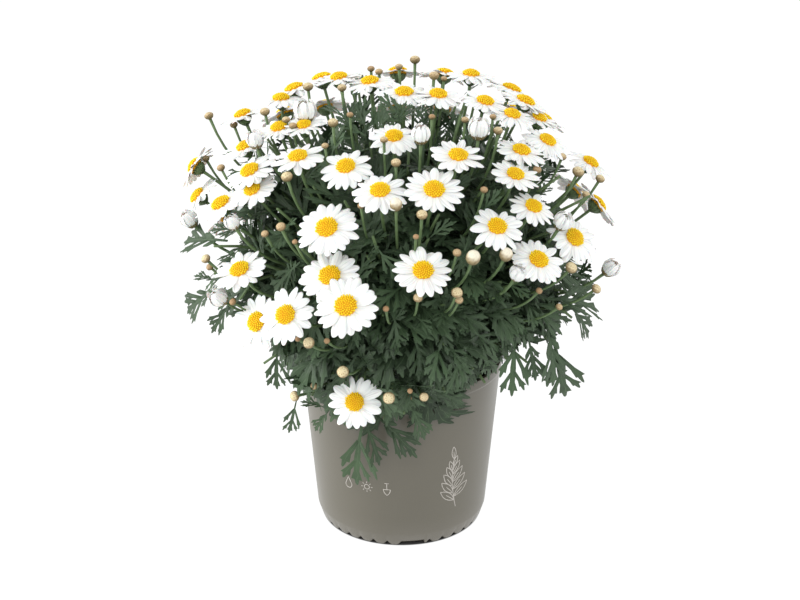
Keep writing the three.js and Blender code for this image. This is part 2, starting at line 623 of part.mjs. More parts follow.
// As many discs as the count of pieces allows are bodies of their own, nearest to the viewer first
const nodesLeft = NODES - group.children.length - clusters.length;
const touches = (i) => clusters.some(({ members }) => members.length > 1 && members.includes(i));
const apart = blooms
  .map((bloom, i) => ({ i, y: bloom.place.y }))
  .filter(({ i }) => !touches(i) && sprigRooms.every(({ owner, solid }) => (
    owner === blooms[i] || solid.intersect(discs[i]).isEmpty())))
  .sort((a, b) => a.y - b.y)
  .slice(0, nodesLeft)
  .map(({ i }) => i);
clusters.forEach(({ members }) => {
  const solid = joined(members.map((i) => (apart.includes(i) ? ringOf(i, false) : rays[i])));
  group.add(meshOf(`rays_${members[0] + 1}`, largestBody(solid), white));
});
apart.sort((a, b) => a - b).forEach((i) => group.add(meshOf(`disc_${i + 1}`, discs[i], yellow)));
export default group;
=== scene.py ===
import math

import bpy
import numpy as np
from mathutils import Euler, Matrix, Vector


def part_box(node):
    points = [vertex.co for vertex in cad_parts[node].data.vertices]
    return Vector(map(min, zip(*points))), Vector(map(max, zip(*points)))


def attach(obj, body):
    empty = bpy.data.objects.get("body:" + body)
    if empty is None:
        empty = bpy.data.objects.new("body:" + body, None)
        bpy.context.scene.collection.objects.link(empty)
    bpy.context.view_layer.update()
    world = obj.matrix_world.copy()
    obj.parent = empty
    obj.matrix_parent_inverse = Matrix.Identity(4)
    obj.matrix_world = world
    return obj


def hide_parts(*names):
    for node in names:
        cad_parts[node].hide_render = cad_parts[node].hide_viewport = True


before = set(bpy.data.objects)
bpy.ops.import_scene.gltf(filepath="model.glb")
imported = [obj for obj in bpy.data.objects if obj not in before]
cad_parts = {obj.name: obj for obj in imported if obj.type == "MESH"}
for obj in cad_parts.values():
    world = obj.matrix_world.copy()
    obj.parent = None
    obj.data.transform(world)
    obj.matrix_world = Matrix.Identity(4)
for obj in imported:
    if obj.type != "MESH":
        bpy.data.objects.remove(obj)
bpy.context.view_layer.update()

# %% [markdown]
# # A potted marguerite daisy
# A marguerite is a small shrub that is sold in bloom: a ball of finely cut blue-green leaves with white
# daisies all over it, in a plain nursery pot. The imported model already holds each sub-part in its place, so
# this script keeps that model as its frame and dresses it: every solid is replaced by a finer piece that is
# worked out from the same few sizes. First come the libraries, the imported model, and a helper that gives
# the box of one of its parts.

# %% [markdown]
# ## The driving sizes
# Everything is in metres, with the origin in the middle of the pot's base and +Z up. The pot is a common
# 14 cm nursery pot. The blooms lie on a dome, the lower half of which hangs round the pot's rim, and the
# leafy shoots grow out of a smaller core inside it. These are the sizes of the imported model, so they are
# written once here and everything else is worked out from them.

# %% Sizes of the pot, the dome and the core
RIM_RADIUS, FOOT_RADIUS, POT_HEIGHT = 0.0715, 0.059, 0.123
WALL, FLOOR, RIM_BAND, RIM_STEP = 0.0017, 0.0018, 0.006, 0.001
WALL_FOOT, WALL_LOW, FOOT_LIFT = FOOT_RADIUS + 0.0024, 0.010, 0.003
FOOT_BOSS, FOOT_RING, SOIL_TOP = 0.024, 0.007, 0.113
DOME_Z, DOME = 0.215, np.array([0.145, 0.145, 0.112])
CORE_Z, CORE = 0.190, np.array([0.080, 0.080, 0.064])
CROWN = np.array([0.0, 0.0, 0.142])
STEMS, STEM_TURN, STEM_RING, STEM_DEPTH, STEM_RADIUS = 7, -116, 0.024, 0.024, 0.004
KNEE_Z, STEM_REACH, STEM_TOP = SOIL_TOP + 0.020, 0.050, 0.160
HUB_DEPTH, DISC_SHARE, DISC_HIGH = 0.0026, 0.33, 0.0039
MM, FULL_TURN, UP = 0.001, 2 * math.pi, np.array([0.0, 0.0, 1.0])
print("rim", 2 * RIM_RADIUS, "dome top", DOME_Z + DOME[2])

# %% [markdown]
# ## Places and directions
# Nearly everything on a plant stands about some axis: petals about a disc, scales about a bud, leaves about a
# shoot. So one helper gives points by how far out they are, at which turn, and how high. Another makes a
# direction square to a path, and a third draws a curve with one knee.

# %% Places about an axis, square directions and curves
def unit(vectors):
    """Vectors of length one, along the last axis."""
    return vectors / np.linalg.norm(vectors, axis=-1, keepdims=True)


def about_axis(reach, height, turn, slide=0.0):
    """Points about an upright axis: reach out at a turn, slide to the left of that way, and a height."""
    cos, sin = np.cos(turn), np.sin(turn)
    parts = reach * cos - slide * sin, reach * sin + slide * cos, height + 0 * turn
    return np.stack(np.broadcast_arrays(*parts), -1)


def around(count):
    """As many even turns as count, from zero, round an axis."""
    return np.arange(count) * FULL_TURN / count


def square_to(ahead, vectors):
    """The part of vectors that stands square to the unit vectors ahead, made length one."""
    return unit(vectors - ahead * (ahead * vectors).sum(-1, keepdims=True))


def quadratic(start, knee, end, t):
    """Points at t on the curve that leaves start towards the knee and comes to end from it."""
    return (1 - t) ** 2 * start + 2 * t * (1 - t) * knee + t * t * end


# %% [markdown]
# ## The viewer
# The picture was taken from a little above, with a longish lens. The camera is made first, because the
# blooms are placed by sight: a pixel and this camera give a line, and the bloom sits where the line meets
# the dome. The frame is 800 pixels wide, so 1600 pixels of focal length on a 36 mm sensor is a 72 mm lens.

# %% Camera
FRAME_WIDE, FOCAL, VIEW_PX, VIEW_PY = 800, 1600, 401.5, 300
VIEW, PITCH = np.array([0.0, -1.048, 0.577]), math.radians(21.52)


def add_object(name, data):
    """A new object in the scene, at the origin."""
    made = bpy.data.objects.new(name, data)
    bpy.context.scene.collection.objects.link(made)
    return made


camera = add_object("camera", bpy.data.cameras.new("camera"))
bpy.context.scene.camera = camera
camera.data.sensor_width = 36
camera.data.lens = camera.data.sensor_width * FOCAL / FRAME_WIDE
camera.data.shift_x = (FRAME_WIDE / 2 - VIEW_PX) / FRAME_WIDE
camera.location = VIEW
camera.rotation_euler = Euler((math.pi / 2 - PITCH, 0, 0))
print("lens", camera.data.lens, "mm, pitched down", round(math.degrees(PITCH), 2))


def sight_lines(px, py):
    """The way from the viewer through each pixel, scaled to a depth of one."""
    across, up = (px - VIEW_PX) / FOCAL, (VIEW_PY - py) / FOCAL
    cos, sin = math.cos(PITCH), math.sin(PITCH)
    return np.stack([across, cos + sin * up, cos * up - sin], -1)


def first_meeting(a, b, c):
    """The smaller root t of a t^2 + 2 b t + c, or the nearest approach where there is no root."""
    return (-b - np.sqrt(np.maximum(b * b - a * c, 0))) / a


def sighted(px, py, shell):
    """Points where the lines of sight of pixels meet the dome scaled by shell, or come nearest to it.

    With the dome stretched to a unit ball, |start + t line| = 1 is a quadratic in t, and its smaller root
    is the side that faces the viewer.
    """
    line, size = sight_lines(px, py), DOME * np.reshape(shell, (-1, 1))
    start, way = (VIEW - UP * DOME_Z) / size, line / size
    t = first_meeting((way * way).sum(1), (start * way).sum(1), (start * start).sum(1) - 1)
    return VIEW + line * t[:, None]


def depth_of(points):
    """How far points lie in front of the viewer, along the way that the camera looks."""
    return (points[..., 1] - VIEW[1]) * math.cos(PITCH) + (VIEW[2] - points[..., 2]) * math.sin(PITCH)


def pixels_of(points):
    """Where points appear in the picture: px = middle + focal x / depth, and py the same with the drop."""
    drop = (VIEW[2] - points[..., 2]) * math.cos(PITCH) - (points[..., 1] - VIEW[1]) * math.sin(PITCH)
    scale = FOCAL / depth_of(points)
    return VIEW_PX + points[..., 0] * scale, VIEW_PY + drop * scale


# %% [markdown]
# ## Draws that stay the same
# A plant is irregular, but the same script has to grow the same plant each time. So every draw comes from a
# stream with a seed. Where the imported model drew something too, such as how far each ring of rays droops,
# the same small generator with the same seed gives the same numbers here. Everything finer comes from
# numpy's generator, which gives whole arrays at once.

# %% Seeded draws
SEED = {
    "spin": 7, "far": 41, "crumb": 3, "pattern": 11, "shoot": 17, "branch": 20, "leaf": 23, "seen leaf": 29,
    "petal": 100, "floret": 300, "tuft": 500, "globe": 600,
}
LOW_32_BITS = 0xFFFFFFFF


def draws(seed):
    """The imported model's stream of draws: a 32-bit counter whose bits are mixed by shifts and products."""
    state = seed

    def draw(low, high):
        nonlocal state
        state = (state + 0x6D2B79F5) & LOW_32_BITS
        mixed = ((state ^ (state >> 15)) * (1 | state)) & LOW_32_BITS
        mixed ^= (mixed + (((mixed ^ (mixed >> 7)) * (61 | mixed)) & LOW_32_BITS)) & LOW_32_BITS
        return low + (high - low) * (mixed ^ (mixed >> 14)) / (LOW_32_BITS + 1)

    return draw


def stream(kind, number=0):
    """The generator for one kind of part, or for one part of that kind."""
    return np.random.default_rng(SEED[kind] + number)


def each(random, count, low=0.0, high=1.0):
    """One draw for each of count parts, shaped to go with the part's rings and corners."""
    return random.uniform(low, high, (count, 1, 1))


print("first draws:", [round(value, 4) for value in map(draws(SEED["spin"]), (0, 0), (1, 1))])

# %% [markdown]
# ## Where the blooms are
# Some forty blooms face the viewer. Each row gives the middle's pixel, the width in pixels, how far the face
# looks up from level in degrees, and how deep in the dome it lies. Ten pairs more cover the far side, where
# the turn and the rise on the dome are given instead, because no photograph shows them.

# %% Tables of the blooms
SEEN_BLOOMS = np.array([
    (346, 306, 68, 42, 1.03), (286, 315, 62, 38, 1.05), (257, 322, 62, 30, 0.97), (330, 276, 66, 52, 0.93),
    (327, 228, 67, 52, 1.0), (240, 270, 60, 62, 1.0), (221, 204, 60, 60, 1.0), (250, 171, 58, 62, 0.98),
    (298, 157, 58, 76, 1.0), (346, 167, 57, 63, 0.96), (380, 191, 60, 66, 1.0), (434, 190, 63, 58, 1.0),
    (423, 271, 63, 55, 1.0), (355, 402, 57, 27, 1.035), (497, 227, 58, 56, 1.0), (538, 260, 60, 54, 1.02),
    (574, 238, 58, 44, 0.97), (533, 207, 52, 62, 0.98), (515, 175, 53, 68, 1.0), (521, 151, 55, 74, 0.98),
    (458, 156, 58, 72, 1.0), (438, 95, 53, 80, 0.97), (485, 102, 52, 76, 0.99), (512, 115, 50, 74, 1.01),
    (471, 75, 50, 84, 1.0), (243, 115, 50, 70, 1.0), (279, 128, 50, 74, 0.98), (339, 78, 50, 80, 1.0),
    (370, 82, 52, 84, 0.97), (245, 147, 52, 66, 0.94), (195, 166, 50, 30, 1.0), (590, 163, 50, 60, 1.0),
    (547, 141, 52, 62, 1.0), (404, 93, 54, 82, 0.95), (281, 99, 50, 88, 1.0), (198, 196, 52, 40, 0.97),
    (394, 137, 52, 70, 0.93), (253, 190, 52, 56, 0.95), (304, 126, 44, 76, 0.97), (539, 119, 44, 70, 0.97),
])
FAR_PAIRS = [
    (22, 4), (62, -6), (104, 3), (146, -5), (40, 34), (84, 30), (126, 33), (80, 56), (12, 55), (150, 58),
]
FAR_RADIUS, FAR_OVERLAP, FAR_UP = (0.0185, 0.0205), 0.0022, math.radians(34)
DROOP = (0.0005, 0.0035)
TURNED_BLOOMS = {(574, 238): -12, (221, 204): -12, (497, 227): -8, (195, 166): -14}


def heads(place, radius, up, aside=0.0):
    """What a bloom or bud needs: its place and radius, its turn about the pot, and the way its face looks.

    The face leans out from the pot's axis by its angle up from level, turned aside by a few degrees in some
    blooms. side is level, across that way.
    """
    turn = np.arctan2(place[:, 1], place[:, 0])
    face = about_axis(1, 0, turn + aside) * np.cos(up)[:, None] + UP * np.sin(up)[:, None]
    side = about_axis(0, 0, turn + aside, 1)
    return {"place": place, "radius": radius, "turn": turn, "face": face, "side": side}


def place_blooms():
    """The seen blooms by sight, and the far pairs at even turns on the dome."""
    px, py, wide, up, shell = SEEN_BLOOMS.T
    seen = sighted(px, py, shell)
    draw, rows = draws(SEED["far"]), []
    for turn, rise in np.radians(FAR_PAIRS):
        reach, height = DOME[0] * math.cos(rise), DOME_Z + DOME[2] * math.sin(rise)
        for end in (-1, 1):
            radius = draw(*FAR_RADIUS)
            at = turn + end * (radius - FAR_OVERLAP) / reach
            rows.append((*about_axis(reach, height, at), radius, rise * 0.6 + FAR_UP))
    far = np.array(rows)
    aside = [math.radians(TURNED_BLOOMS.get(spot, 0)) for spot in zip(px.astype(int), py.astype(int))]
    return heads(
        np.concatenate([seen, far[:, :3]]),
        np.concatenate([wide * depth_of(seen) / FOCAL / 2, far[:, 3]]),
        np.concatenate([np.radians(up), far[:, 4]]),
        np.concatenate([aside, np.zeros(len(far))]),
    )


blooms = place_blooms()
habit = draws(SEED["spin"])
SPIN_DROOP = np.array([[habit(0, 1), habit(*DROOP)] for _ in blooms["turn"]])
widths = np.round(2 * blooms["radius"], 3)
print(len(widths), "blooms,", widths.min(), "to", widths.max(), "m across")

# %% [markdown]
# ## Where the buds are
# Between the blooms stand buds of every age: half-open ones like small white goblets, round closed ones in
# cream and tan, and tiny reddish ones low among the leaves. Each is placed by sight as the blooms are, on
# the dome or just outside it, and its row ends with its width in millimetres.

# %% Tables of the buds
HALF_OPEN = np.array([
    (305, 110, 15), (421, 134, 12), (479, 128, 14), (255, 139, 12), (232, 222, 10),
    (189, 219, 12), (218, 297, 13), (518, 273, 11), (563, 221, 12), (611, 268, 12),
])
BUDS = np.array([
    (209, 116, 7), (265, 112, 7), (308, 87, 8), (342, 88, 7), (399, 67, 6),
    (415, 60, 8), (434, 76, 7), (333, 123, 7), (287, 177, 8), (281, 227, 7),
    (396, 205, 9), (498, 131, 7), (422, 215, 7), (578, 172, 8), (600, 179, 7),
    (206, 259, 7), (309, 343, 8), (343, 372, 8), (295, 396, 8), (389, 398, 8),
    (424, 397, 7), (473, 258, 10), (457, 293, 8), (506, 255, 9), (571, 268, 8),
    (596, 289, 7),
])
SMALL_BUDS = np.array([
    (234, 125, 6), (286, 120, 6), (293, 126, 6), (371, 69, 6), (379, 72, 6),
    (444, 79, 5), (350, 115, 5), (384, 140, 6), (325, 146, 5), (206, 159, 6),
    (221, 168, 6), (265, 234, 5), (295, 242, 4), (396, 163, 7), (361, 206, 5),
    (432, 117, 5), (465, 120, 5), (493, 117, 5), (484, 190, 5), (416, 237, 4),
    (586, 195, 6), (562, 157, 6), (537, 170, 6), (210, 267, 6), (233, 302, 5),
    (298, 339, 4), (327, 341, 4), (386, 309, 4), (314, 386, 5), (409, 398, 4),
    (410, 391, 4), (457, 253, 6), (418, 298, 6), (459, 300, 6), (539, 291, 5),
    (559, 307, 5),
])


def place_buds(rows, shell):
    """Buds by sight on the dome scaled by shell, turned up a little more than the line from the crown."""
    place = sighted(rows[:, 0], rows[:, 1], shell)
    rise = np.arctan2(place[:, 2] - CROWN[2], np.hypot(place[:, 0], place[:, 1]))
    return heads(place, rows[:, 2] * MM / 2, np.minimum(rise + math.radians(22), math.radians(86)))


half_open, buds, small_buds = (
    place_buds(rows, shell) for rows, shell in ((HALF_OPEN, 1.02), (BUDS, 1.03), (SMALL_BUDS, 1.0)))
print(len(HALF_OPEN), "half open,", len(BUDS), "closed and", len(SMALL_BUDS), "small buds")

# %% [markdown]
# ## One way to make every plant part
# A stalk, a petal, a leaf lobe and a bud are all the same thing to a modeller: a ring of points carried
# along a path, and closed at both ends. So one helper joins rings to closed tubes, for a whole batch at
# once, and another joins such batches to one mesh. Beside its place, each point carries how it grew: across
# the petal or leaf, along it, a tone of its own, and how far it is on the underside. The materials read
# these as attributes, so a vein or a streak follows its petal wherever that points.

# %% Closed tubes from rings of points
def closed_tubes(rings, first, last):
    """Points and faces of closed tubes: rings[k, i, j] is corner j of ring i of tube k.

    Neighbouring rings are joined by quads, and fans of triangles to first[k] and last[k] close the ends.
    Rings run counter-clockwise as seen from the far end of the path, so that the faces look outwards.
    """
    tubes, rows, sides, values = rings.shape
    points = np.concatenate([rings.reshape(tubes, rows * sides, values), first[:, None], last[:, None]], 1)
    i, j = (grid.ravel() for grid in np.meshgrid(np.arange(rows - 1), np.arange(sides), indexing="ij"))
    k = (j + 1) % sides
    quads = np.stack([i * sides + j, i * sides + k, (i + 1) * sides + k, (i + 1) * sides + j], 1)
    j = np.arange(sides)
    k, end = (j + 1) % sides, (rows - 1) * sides
    fans = np.concatenate([
        np.stack([0 * j + rows * sides, k, j], 1), np.stack([0 * j + rows * sides + 1, end + j, end + k], 1),
    ])
    offset = np.arange(tubes)[:, None, None] * points.shape[1]
    return points.reshape(-1, values), (quads + offset).reshape(-1, 4), (fans + offset).reshape(-1, 3)


def capped(rings):
    """Closed tubes with flat ends: each end point is the middle of its ring."""
    return closed_tubes(rings, rings[:, 0].mean(1), rings[:, -1].mean(1))


def pointed(rings, further, across=1):
    """Closed tubes that run out to a tip: the last ring's middle, and further times the last step beyond."""
    middle = rings[:, -1].mean(1)
    tip = middle + further * (middle - rings[:, -2].mean(1))
    tip[:, 3] = across
    return closed_tubes(rings, rings[:, 0].mean(1), tip)


def joined(shapes):
    """Several (points, quads, triangles) as one, each one's corner numbers moved up past those before it."""
    counts = np.cumsum([0] + [len(points) for points, _, _ in shapes])
    return (
        np.concatenate([points for points, _, _ in shapes]),
        np.concatenate([quads + start for (_, quads, _), start in zip(shapes, counts)]),
        np.concatenate([fans + start for (_, _, fans), start in zip(shapes, counts)]),
    )


MADE = {}


def add_piece(name, shape, material, nodes):
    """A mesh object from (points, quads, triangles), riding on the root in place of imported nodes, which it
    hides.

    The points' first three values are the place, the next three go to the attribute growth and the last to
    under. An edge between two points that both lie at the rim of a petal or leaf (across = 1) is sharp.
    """
    points, quads, fans = shape
    mesh = bpy.data.meshes.new(name)
    mesh.vertices.add(len(points))
    mesh.vertices.foreach_set("co", points[:, :3].astype(np.float32).ravel())
    corners = np.concatenate([quads.ravel(), fans.ravel()])
    mesh.loops.add(len(corners))
    mesh.loops.foreach_set("vertex_index", corners.astype(np.int32))
    starts = np.concatenate([np.arange(len(quads)) * 4, quads.size + np.arange(len(fans)) * 3])
    mesh.polygons.add(len(starts))
    mesh.polygons.foreach_set("loop_start", starts.astype(np.int32))
    mesh.polygons.foreach_set("use_smooth", np.ones(len(starts), bool))
    mesh.update(calc_edges=True)
    mesh.attributes.new("growth", "FLOAT_VECTOR", "POINT").data.foreach_set(
        "vector", points[:, 3:6].astype(np.float32).ravel())
    mesh.attributes.new("under", "FLOAT", "POINT").data.foreach_set("value", points[:, 6].astype(np.float32))
    ends = np.empty(len(mesh.edges) * 2, np.int32)
    mesh.edges.foreach_get("vertices", ends)
    rim = np.abs(points[:, 3]) > 0.999
    mesh.edges.foreach_set("use_edge_sharp", rim[ends].reshape(-1, 2).all(1))
    mesh.materials.append(material)
    piece = add_object(name, mesh)
    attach(piece, "root")
    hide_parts(*nodes)
    MADE[name] = 2 * len(quads) + len(fans)


def volume_of(shape):
    """Six times the volume is the sum over triangles of a . (b x c): positive when faces look outwards."""
    points, quads, fans = shape
    corners = points[:, :3][np.concatenate([quads[:, :3], quads[:, [0, 2, 3]], fans])]
    return float((corners[:, 0] * np.cross(corners[:, 1], corners[:, 2])).sum() / 6)


def grown(place, across, along, tone, under):
    """Places with their growth values beside them, all spread to one shape."""
    shape = place.shape[:-1]
    extra = [np.broadcast_to(np.asarray(value, float), shape) for value in (across, along, tone, under)]
    return np.concatenate([place, np.stack(extra, -1)], -1)


# %% [markdown]
# ## Shared surface effects
# Nothing in nature or on used plastic has one flat colour. Three node groups give what the materials share:
# one reads how a point grew, one gives soft mottling from noise in object coordinates, and one gives streaks
# along the growth. They put out only values that vary over the surface, and each material's own shader turns
# them into colour, roughness and relief.

# %% Node helpers
def feed(tree, socket, value):
    """Gives an input socket a number, a colour (three numbers) or the output of another node."""
    if isinstance(value, bpy.types.NodeSocket):
        tree.links.new(value, socket)
    else:
        socket.default_value = (*value, 1) if isinstance(value, tuple) else value


def math_node(tree, kind, *values, clamp=False):
    """A Math node whose inputs are numbers or sockets. Returns its output socket."""
    node = tree.nodes.new("ShaderNodeMath")
    node.operation, node.use_clamp = kind, clamp
    for socket, value in zip(node.inputs, values):
        feed(tree, socket, value)
    return node.outputs[0]


def times(tree, one, other):
    """The product of two values."""
    return math_node(tree, "MULTIPLY", one, other)


def blend(tree, factor, low, high):
    """A Mix node between two colours, by a socket."""
    node = tree.nodes.new("ShaderNodeMix")
    node.data_type = "RGBA"
    for socket, value in zip((node.inputs["Factor"], node.inputs[6], node.inputs[7]), (factor, low, high)):
        feed(tree, socket, value)
    return node.outputs[2]


def ramp(tree, value, low, high, reach=(0.0, 1.0)):
    """A Map Range node: value from low to high becomes reach[0] to reach[1], with soft ends."""
    node = tree.nodes.new("ShaderNodeMapRange")
    node.interpolation_type = "SMOOTHSTEP"
    titles = "Value", "From Min", "From Max", "To Min", "To Max"
    for title, given in zip(titles, (value, low, high, *reach)):
        feed(tree, node.inputs[title], given)
    return node.outputs["Result"]


# %% Shared groups
def new_group(name, inputs, outputs):
    """A shader node group with float inputs (name: value) and float outputs, and its two end nodes."""
    group = bpy.data.node_groups.new(name, "ShaderNodeTree")
    for title, value in inputs.items():
        socket = group.interface.new_socket(title, in_out="INPUT", socket_type="NodeSocketFloat")
        socket.default_value = value
    for title in outputs:
        group.interface.new_socket(title, in_out="OUTPUT", socket_type="NodeSocketFloat")
    return group, group.nodes.new("NodeGroupInput"), group.nodes.new("NodeGroupOutput")


def growth_parts(group):
    """Across, along and tone of a point, as three sockets."""
    grow, parts = group.nodes.new("ShaderNodeAttribute"), group.nodes.new("ShaderNodeSeparateXYZ")
    grow.attribute_name = "growth"
    group.links.new(grow.outputs["Vector"], parts.inputs[0])
    return parts.outputs


def stretched_noise(group, given, target, **sockets):
    """Noise to a socket, stretched round its middle by the group's Contrast and kept between 0 and 1."""
    noise = group.nodes.new("ShaderNodeTexNoise")
    for title, value in sockets.items():
        feed(group, noise.inputs[title], value)
    centred = math_node(group, "SUBTRACT", noise.outputs["Fac"], 0.5)
    spread = times(group, centred, given.outputs["Contrast"])
    group.links.new(math_node(group, "ADD", spread, 0.5, clamp=True), target)


def make_growth_group():
    """Across, along and tone of a point, its underside, and the distance from the middle line (0 to 1)."""
    group, _, out = new_group("growth_of_point", {}, ["Across", "Along", "Tone", "Under", "From Middle"])
    parts, under = growth_parts(group), group.nodes.new("ShaderNodeAttribute")
    under.attribute_name = "under"
    for title, socket in zip(("Across", "Along", "Tone"), parts):
        group.links.new(socket, out.inputs[title])
    group.links.new(under.outputs["Fac"], out.inputs["Under"])
    group.links.new(math_node(group, "ABSOLUTE", parts[0]), out.inputs["From Middle"])
    return group


def make_mottle_group():
    """Soft noise in object coordinates."""
    group, given, out = new_group("soft_mottle", {"Scale": 60, "Detail": 3, "Contrast": 2}, ["Mottle"])
    place = group.nodes.new("ShaderNodeTexCoord")
    stretched_noise(group, given, out.inputs["Mottle"], Vector=place.outputs["Object"],
                    Scale=given.outputs["Scale"], Detail=given.outputs["Detail"])
    return group


def make_streak_group():
    """Long streaks: noise on (across x Count, along x Run, tone x 40), so no two petals have the same."""
    group, given, out = new_group("growth_streaks", {"Count": 5, "Run": 0.6, "Contrast": 2}, ["Streak"])
    packed = group.nodes.new("ShaderNodeCombineXYZ")
    factors = given.outputs["Count"], given.outputs["Run"], 40.0
    for part, factor, socket in zip(growth_parts(group), factors, packed.inputs):
        group.links.new(times(group, part, factor), socket)
    stretched_noise(group, given, out.inputs["Streak"], Vector=packed.outputs[0], Scale=1.0, Detail=2.0)
    return group


GROWTH, MOTTLE, STREAK = make_growth_group(), make_mottle_group(), make_streak_group()
print("groups:", GROWTH.name, MOTTLE.name, STREAK.name)


# %% Material helpers
def new_material(name, **sockets):
    """A material with a Principled shader whose constant sockets are set by name, as in Roughness=0.5."""
    material = bpy.data.materials.new(name)
    material.use_nodes = True
    shader = material.node_tree.nodes["Principled BSDF"]
    for title, value in sockets.items():
        feed(material.node_tree, shader.inputs[title.replace("_", " ")], value)
    return material, material.node_tree, shader


def paint(tree, shader, colour):
    """A colour socket to the shader's base colour."""
    tree.links.new(colour, shader.inputs["Base Color"])


def use_group(tree, group, **values):
    """Places a shared group in a material with its own values, and returns its outputs."""
    node = tree.nodes.new("ShaderNodeGroup")
    node.node_tree = group
    for title, value in values.items():
        feed(tree, node.inputs[title], value)
    return node.outputs


def mottled(tree, scale, detail, contrast):
    """Mottling of a scale (waves a metre), with its detail and contrast."""
    return use_group(tree, MOTTLE, Scale=scale, Detail=detail, Contrast=contrast)["Mottle"]


def streaked(tree, count, run, contrast):
    """Streaks along the growth: count of them across, run along, and their contrast."""
    return use_group(tree, STREAK, Count=count, Run=run, Contrast=contrast)["Streak"]


def relief(tree, shader, height, strength, distance):
    """A Bump node from a height socket to the shader's normal; distance is the relief's depth in metres."""
    bump = tree.nodes.new("ShaderNodeBump")
    for title, value in (("Strength", strength), ("Distance", distance), ("Height", height)):
        feed(tree, bump.inputs[title], value)
    tree.links.new(bump.outputs["Normal"], shader.inputs["Normal"])


# %% [markdown]
# ## The leaf finish
# A marguerite leaf is a dull, slightly bluish green, darker deep in the bush, with a paler middle vein and a
# greyer underside. Young leaves at the shoot tips are lighter and yellower: each leaf's own tone says how
# light it is, and mottling breaks up what is left. The waxy skin gives a broad soft shine.

# %% Leaf material
def make_leaf_material():
    """Dark to light blue-green by tone and mottling, a pale middle vein and a grey-green underside."""
    material, tree, shader = new_material("leaf_blue_green", Roughness=0.5, Specular_IOR_Level=0.33)
    grow = use_group(tree, GROWTH)
    mottle = mottled(tree, 90, 4, 1.6)
    patch = math_node(tree, "MULTIPLY_ADD", mottle, 0.5, -0.25)
    light = math_node(tree, "ADD", grow["Tone"], patch, clamp=True)
    green = blend(tree, light, (0.0135, 0.024, 0.0125), (0.065, 0.113, 0.054))
    vein = times(tree, ramp(tree, grow["From Middle"], 0.16, 0.02), 0.45)
    veined = blend(tree, vein, green, (0.10, 0.155, 0.080))
    backed = times(tree, ramp(tree, grow["Under"], 0.1, 0.6), 0.6)
    paint(tree, shader, blend(tree, backed, veined, (0.065, 0.11, 0.075)))
    tree.links.new(ramp(tree, mottle, 0.2, 0.9, (0.42, 0.62)), shader.inputs["Roughness"])
    relief(tree, shader, math_node(tree, "ADD", streaked(tree, 4, 9, 1.5), vein), 0.5, 0.0004)
    return material


LEAF = make_leaf_material()

# %% [markdown]
# ## The finish of rays and discs
# The rays are pure white with faint grey streaks along them, which are partly the faintest lines of the ray
# and partly painted shade, a breath of green at the foot, and thin enough to glow a little. A disc is a dome
# of
# tiny tubes: golden yellow open ones near its edge, and tighter, slightly deeper ones in the middle, with
# orange painted at their feet and on the dome between them as shade where the light doesn't reach.

# %% Ray and floret materials
def make_ray_material():
    """White with faint grey streaks along the ray, partly real lines and partly painted shade, a greenish
    foot, and light scattered inside.
    """
    material, tree, shader = new_material(
        "daisy_white", Roughness=0.55, Specular_IOR_Level=0.3,
        Subsurface_Weight=0.12, Subsurface_Scale=0.0015)
    grow = use_group(tree, GROWTH)
    streak = streaked(tree, 4.5, 0.8, 2.6)
    # Painted shade in part: the grey streaks stand for the ray's faint lines and for the shade on the petals.
    shade = times(tree, ramp(tree, streak, 0.4, 0.95), 0.7)
    white = blend(tree, shade, (0.88, 0.88, 0.86), (0.62, 0.625, 0.63))
    foot = times(tree, ramp(tree, grow["Along"], 0.28, 0.0), 0.6)
    paint(tree, shader, blend(tree, foot, white, (0.8, 0.83, 0.62)))
    relief(tree, shader, streak, 0.25, 0.0003)
    return material


def make_floret_material():
    """Golden by tone, from orange painted shade at a floret's foot, and on the dome under the florets, to
    bright yellow at its top.
    """
    material, tree, shader = new_material("floret_gold", Roughness=0.65, Specular_IOR_Level=0.25)
    grow = use_group(tree, GROWTH)
    gold = blend(tree, grow["Tone"], (0.85, 0.49, 0.009), (0.92, 0.70, 0.015))
    # Painted shade: orange at the feet of the florets and on the dome between them, where the light doesn't
    # reach.
    painted_foot_shade = times(tree, ramp(tree, grow["Along"], 0.6, 0.0), 0.75)
    paint(tree, shader, blend(tree, painted_foot_shade, gold, (0.74, 0.29, 0.004)))
    relief(tree, shader, mottled(tree, 900, 2, 1.5), 0.3, 0.0002)
    return material


RAY, FLORET = make_ray_material(), make_floret_material()

# %% [markdown]
# ## The finish of stalks and buds
# Stalks are a lighter, yellower green than the leaves, finely ribbed, and the main stems are brown and woody
# at the foot. A bud is wrapped in papery scales: tan to cream, with brown edges, and green underneath.

# %% Stalk and bud materials
def make_stalk_material():
    """Green by tone, browner where tone is low, with ribs along the stalk as relief."""
    material, tree, shader = new_material("stalk_green", Roughness=0.55, Specular_IOR_Level=0.35)
    grow = use_group(tree, GROWTH)
    mottle = mottled(tree, 150, 4, 1.8)
    young = blend(tree, mottle, (0.075, 0.125, 0.048), (0.135, 0.205, 0.085))
    wood = blend(tree, mottle, (0.055, 0.042, 0.022), (0.13, 0.105, 0.06))
    paint(tree, shader, blend(tree, grow["Tone"], wood, young))
    relief(tree, shader, streaked(tree, 9, 1.2, 2), 0.4, 0.0003)
    return material


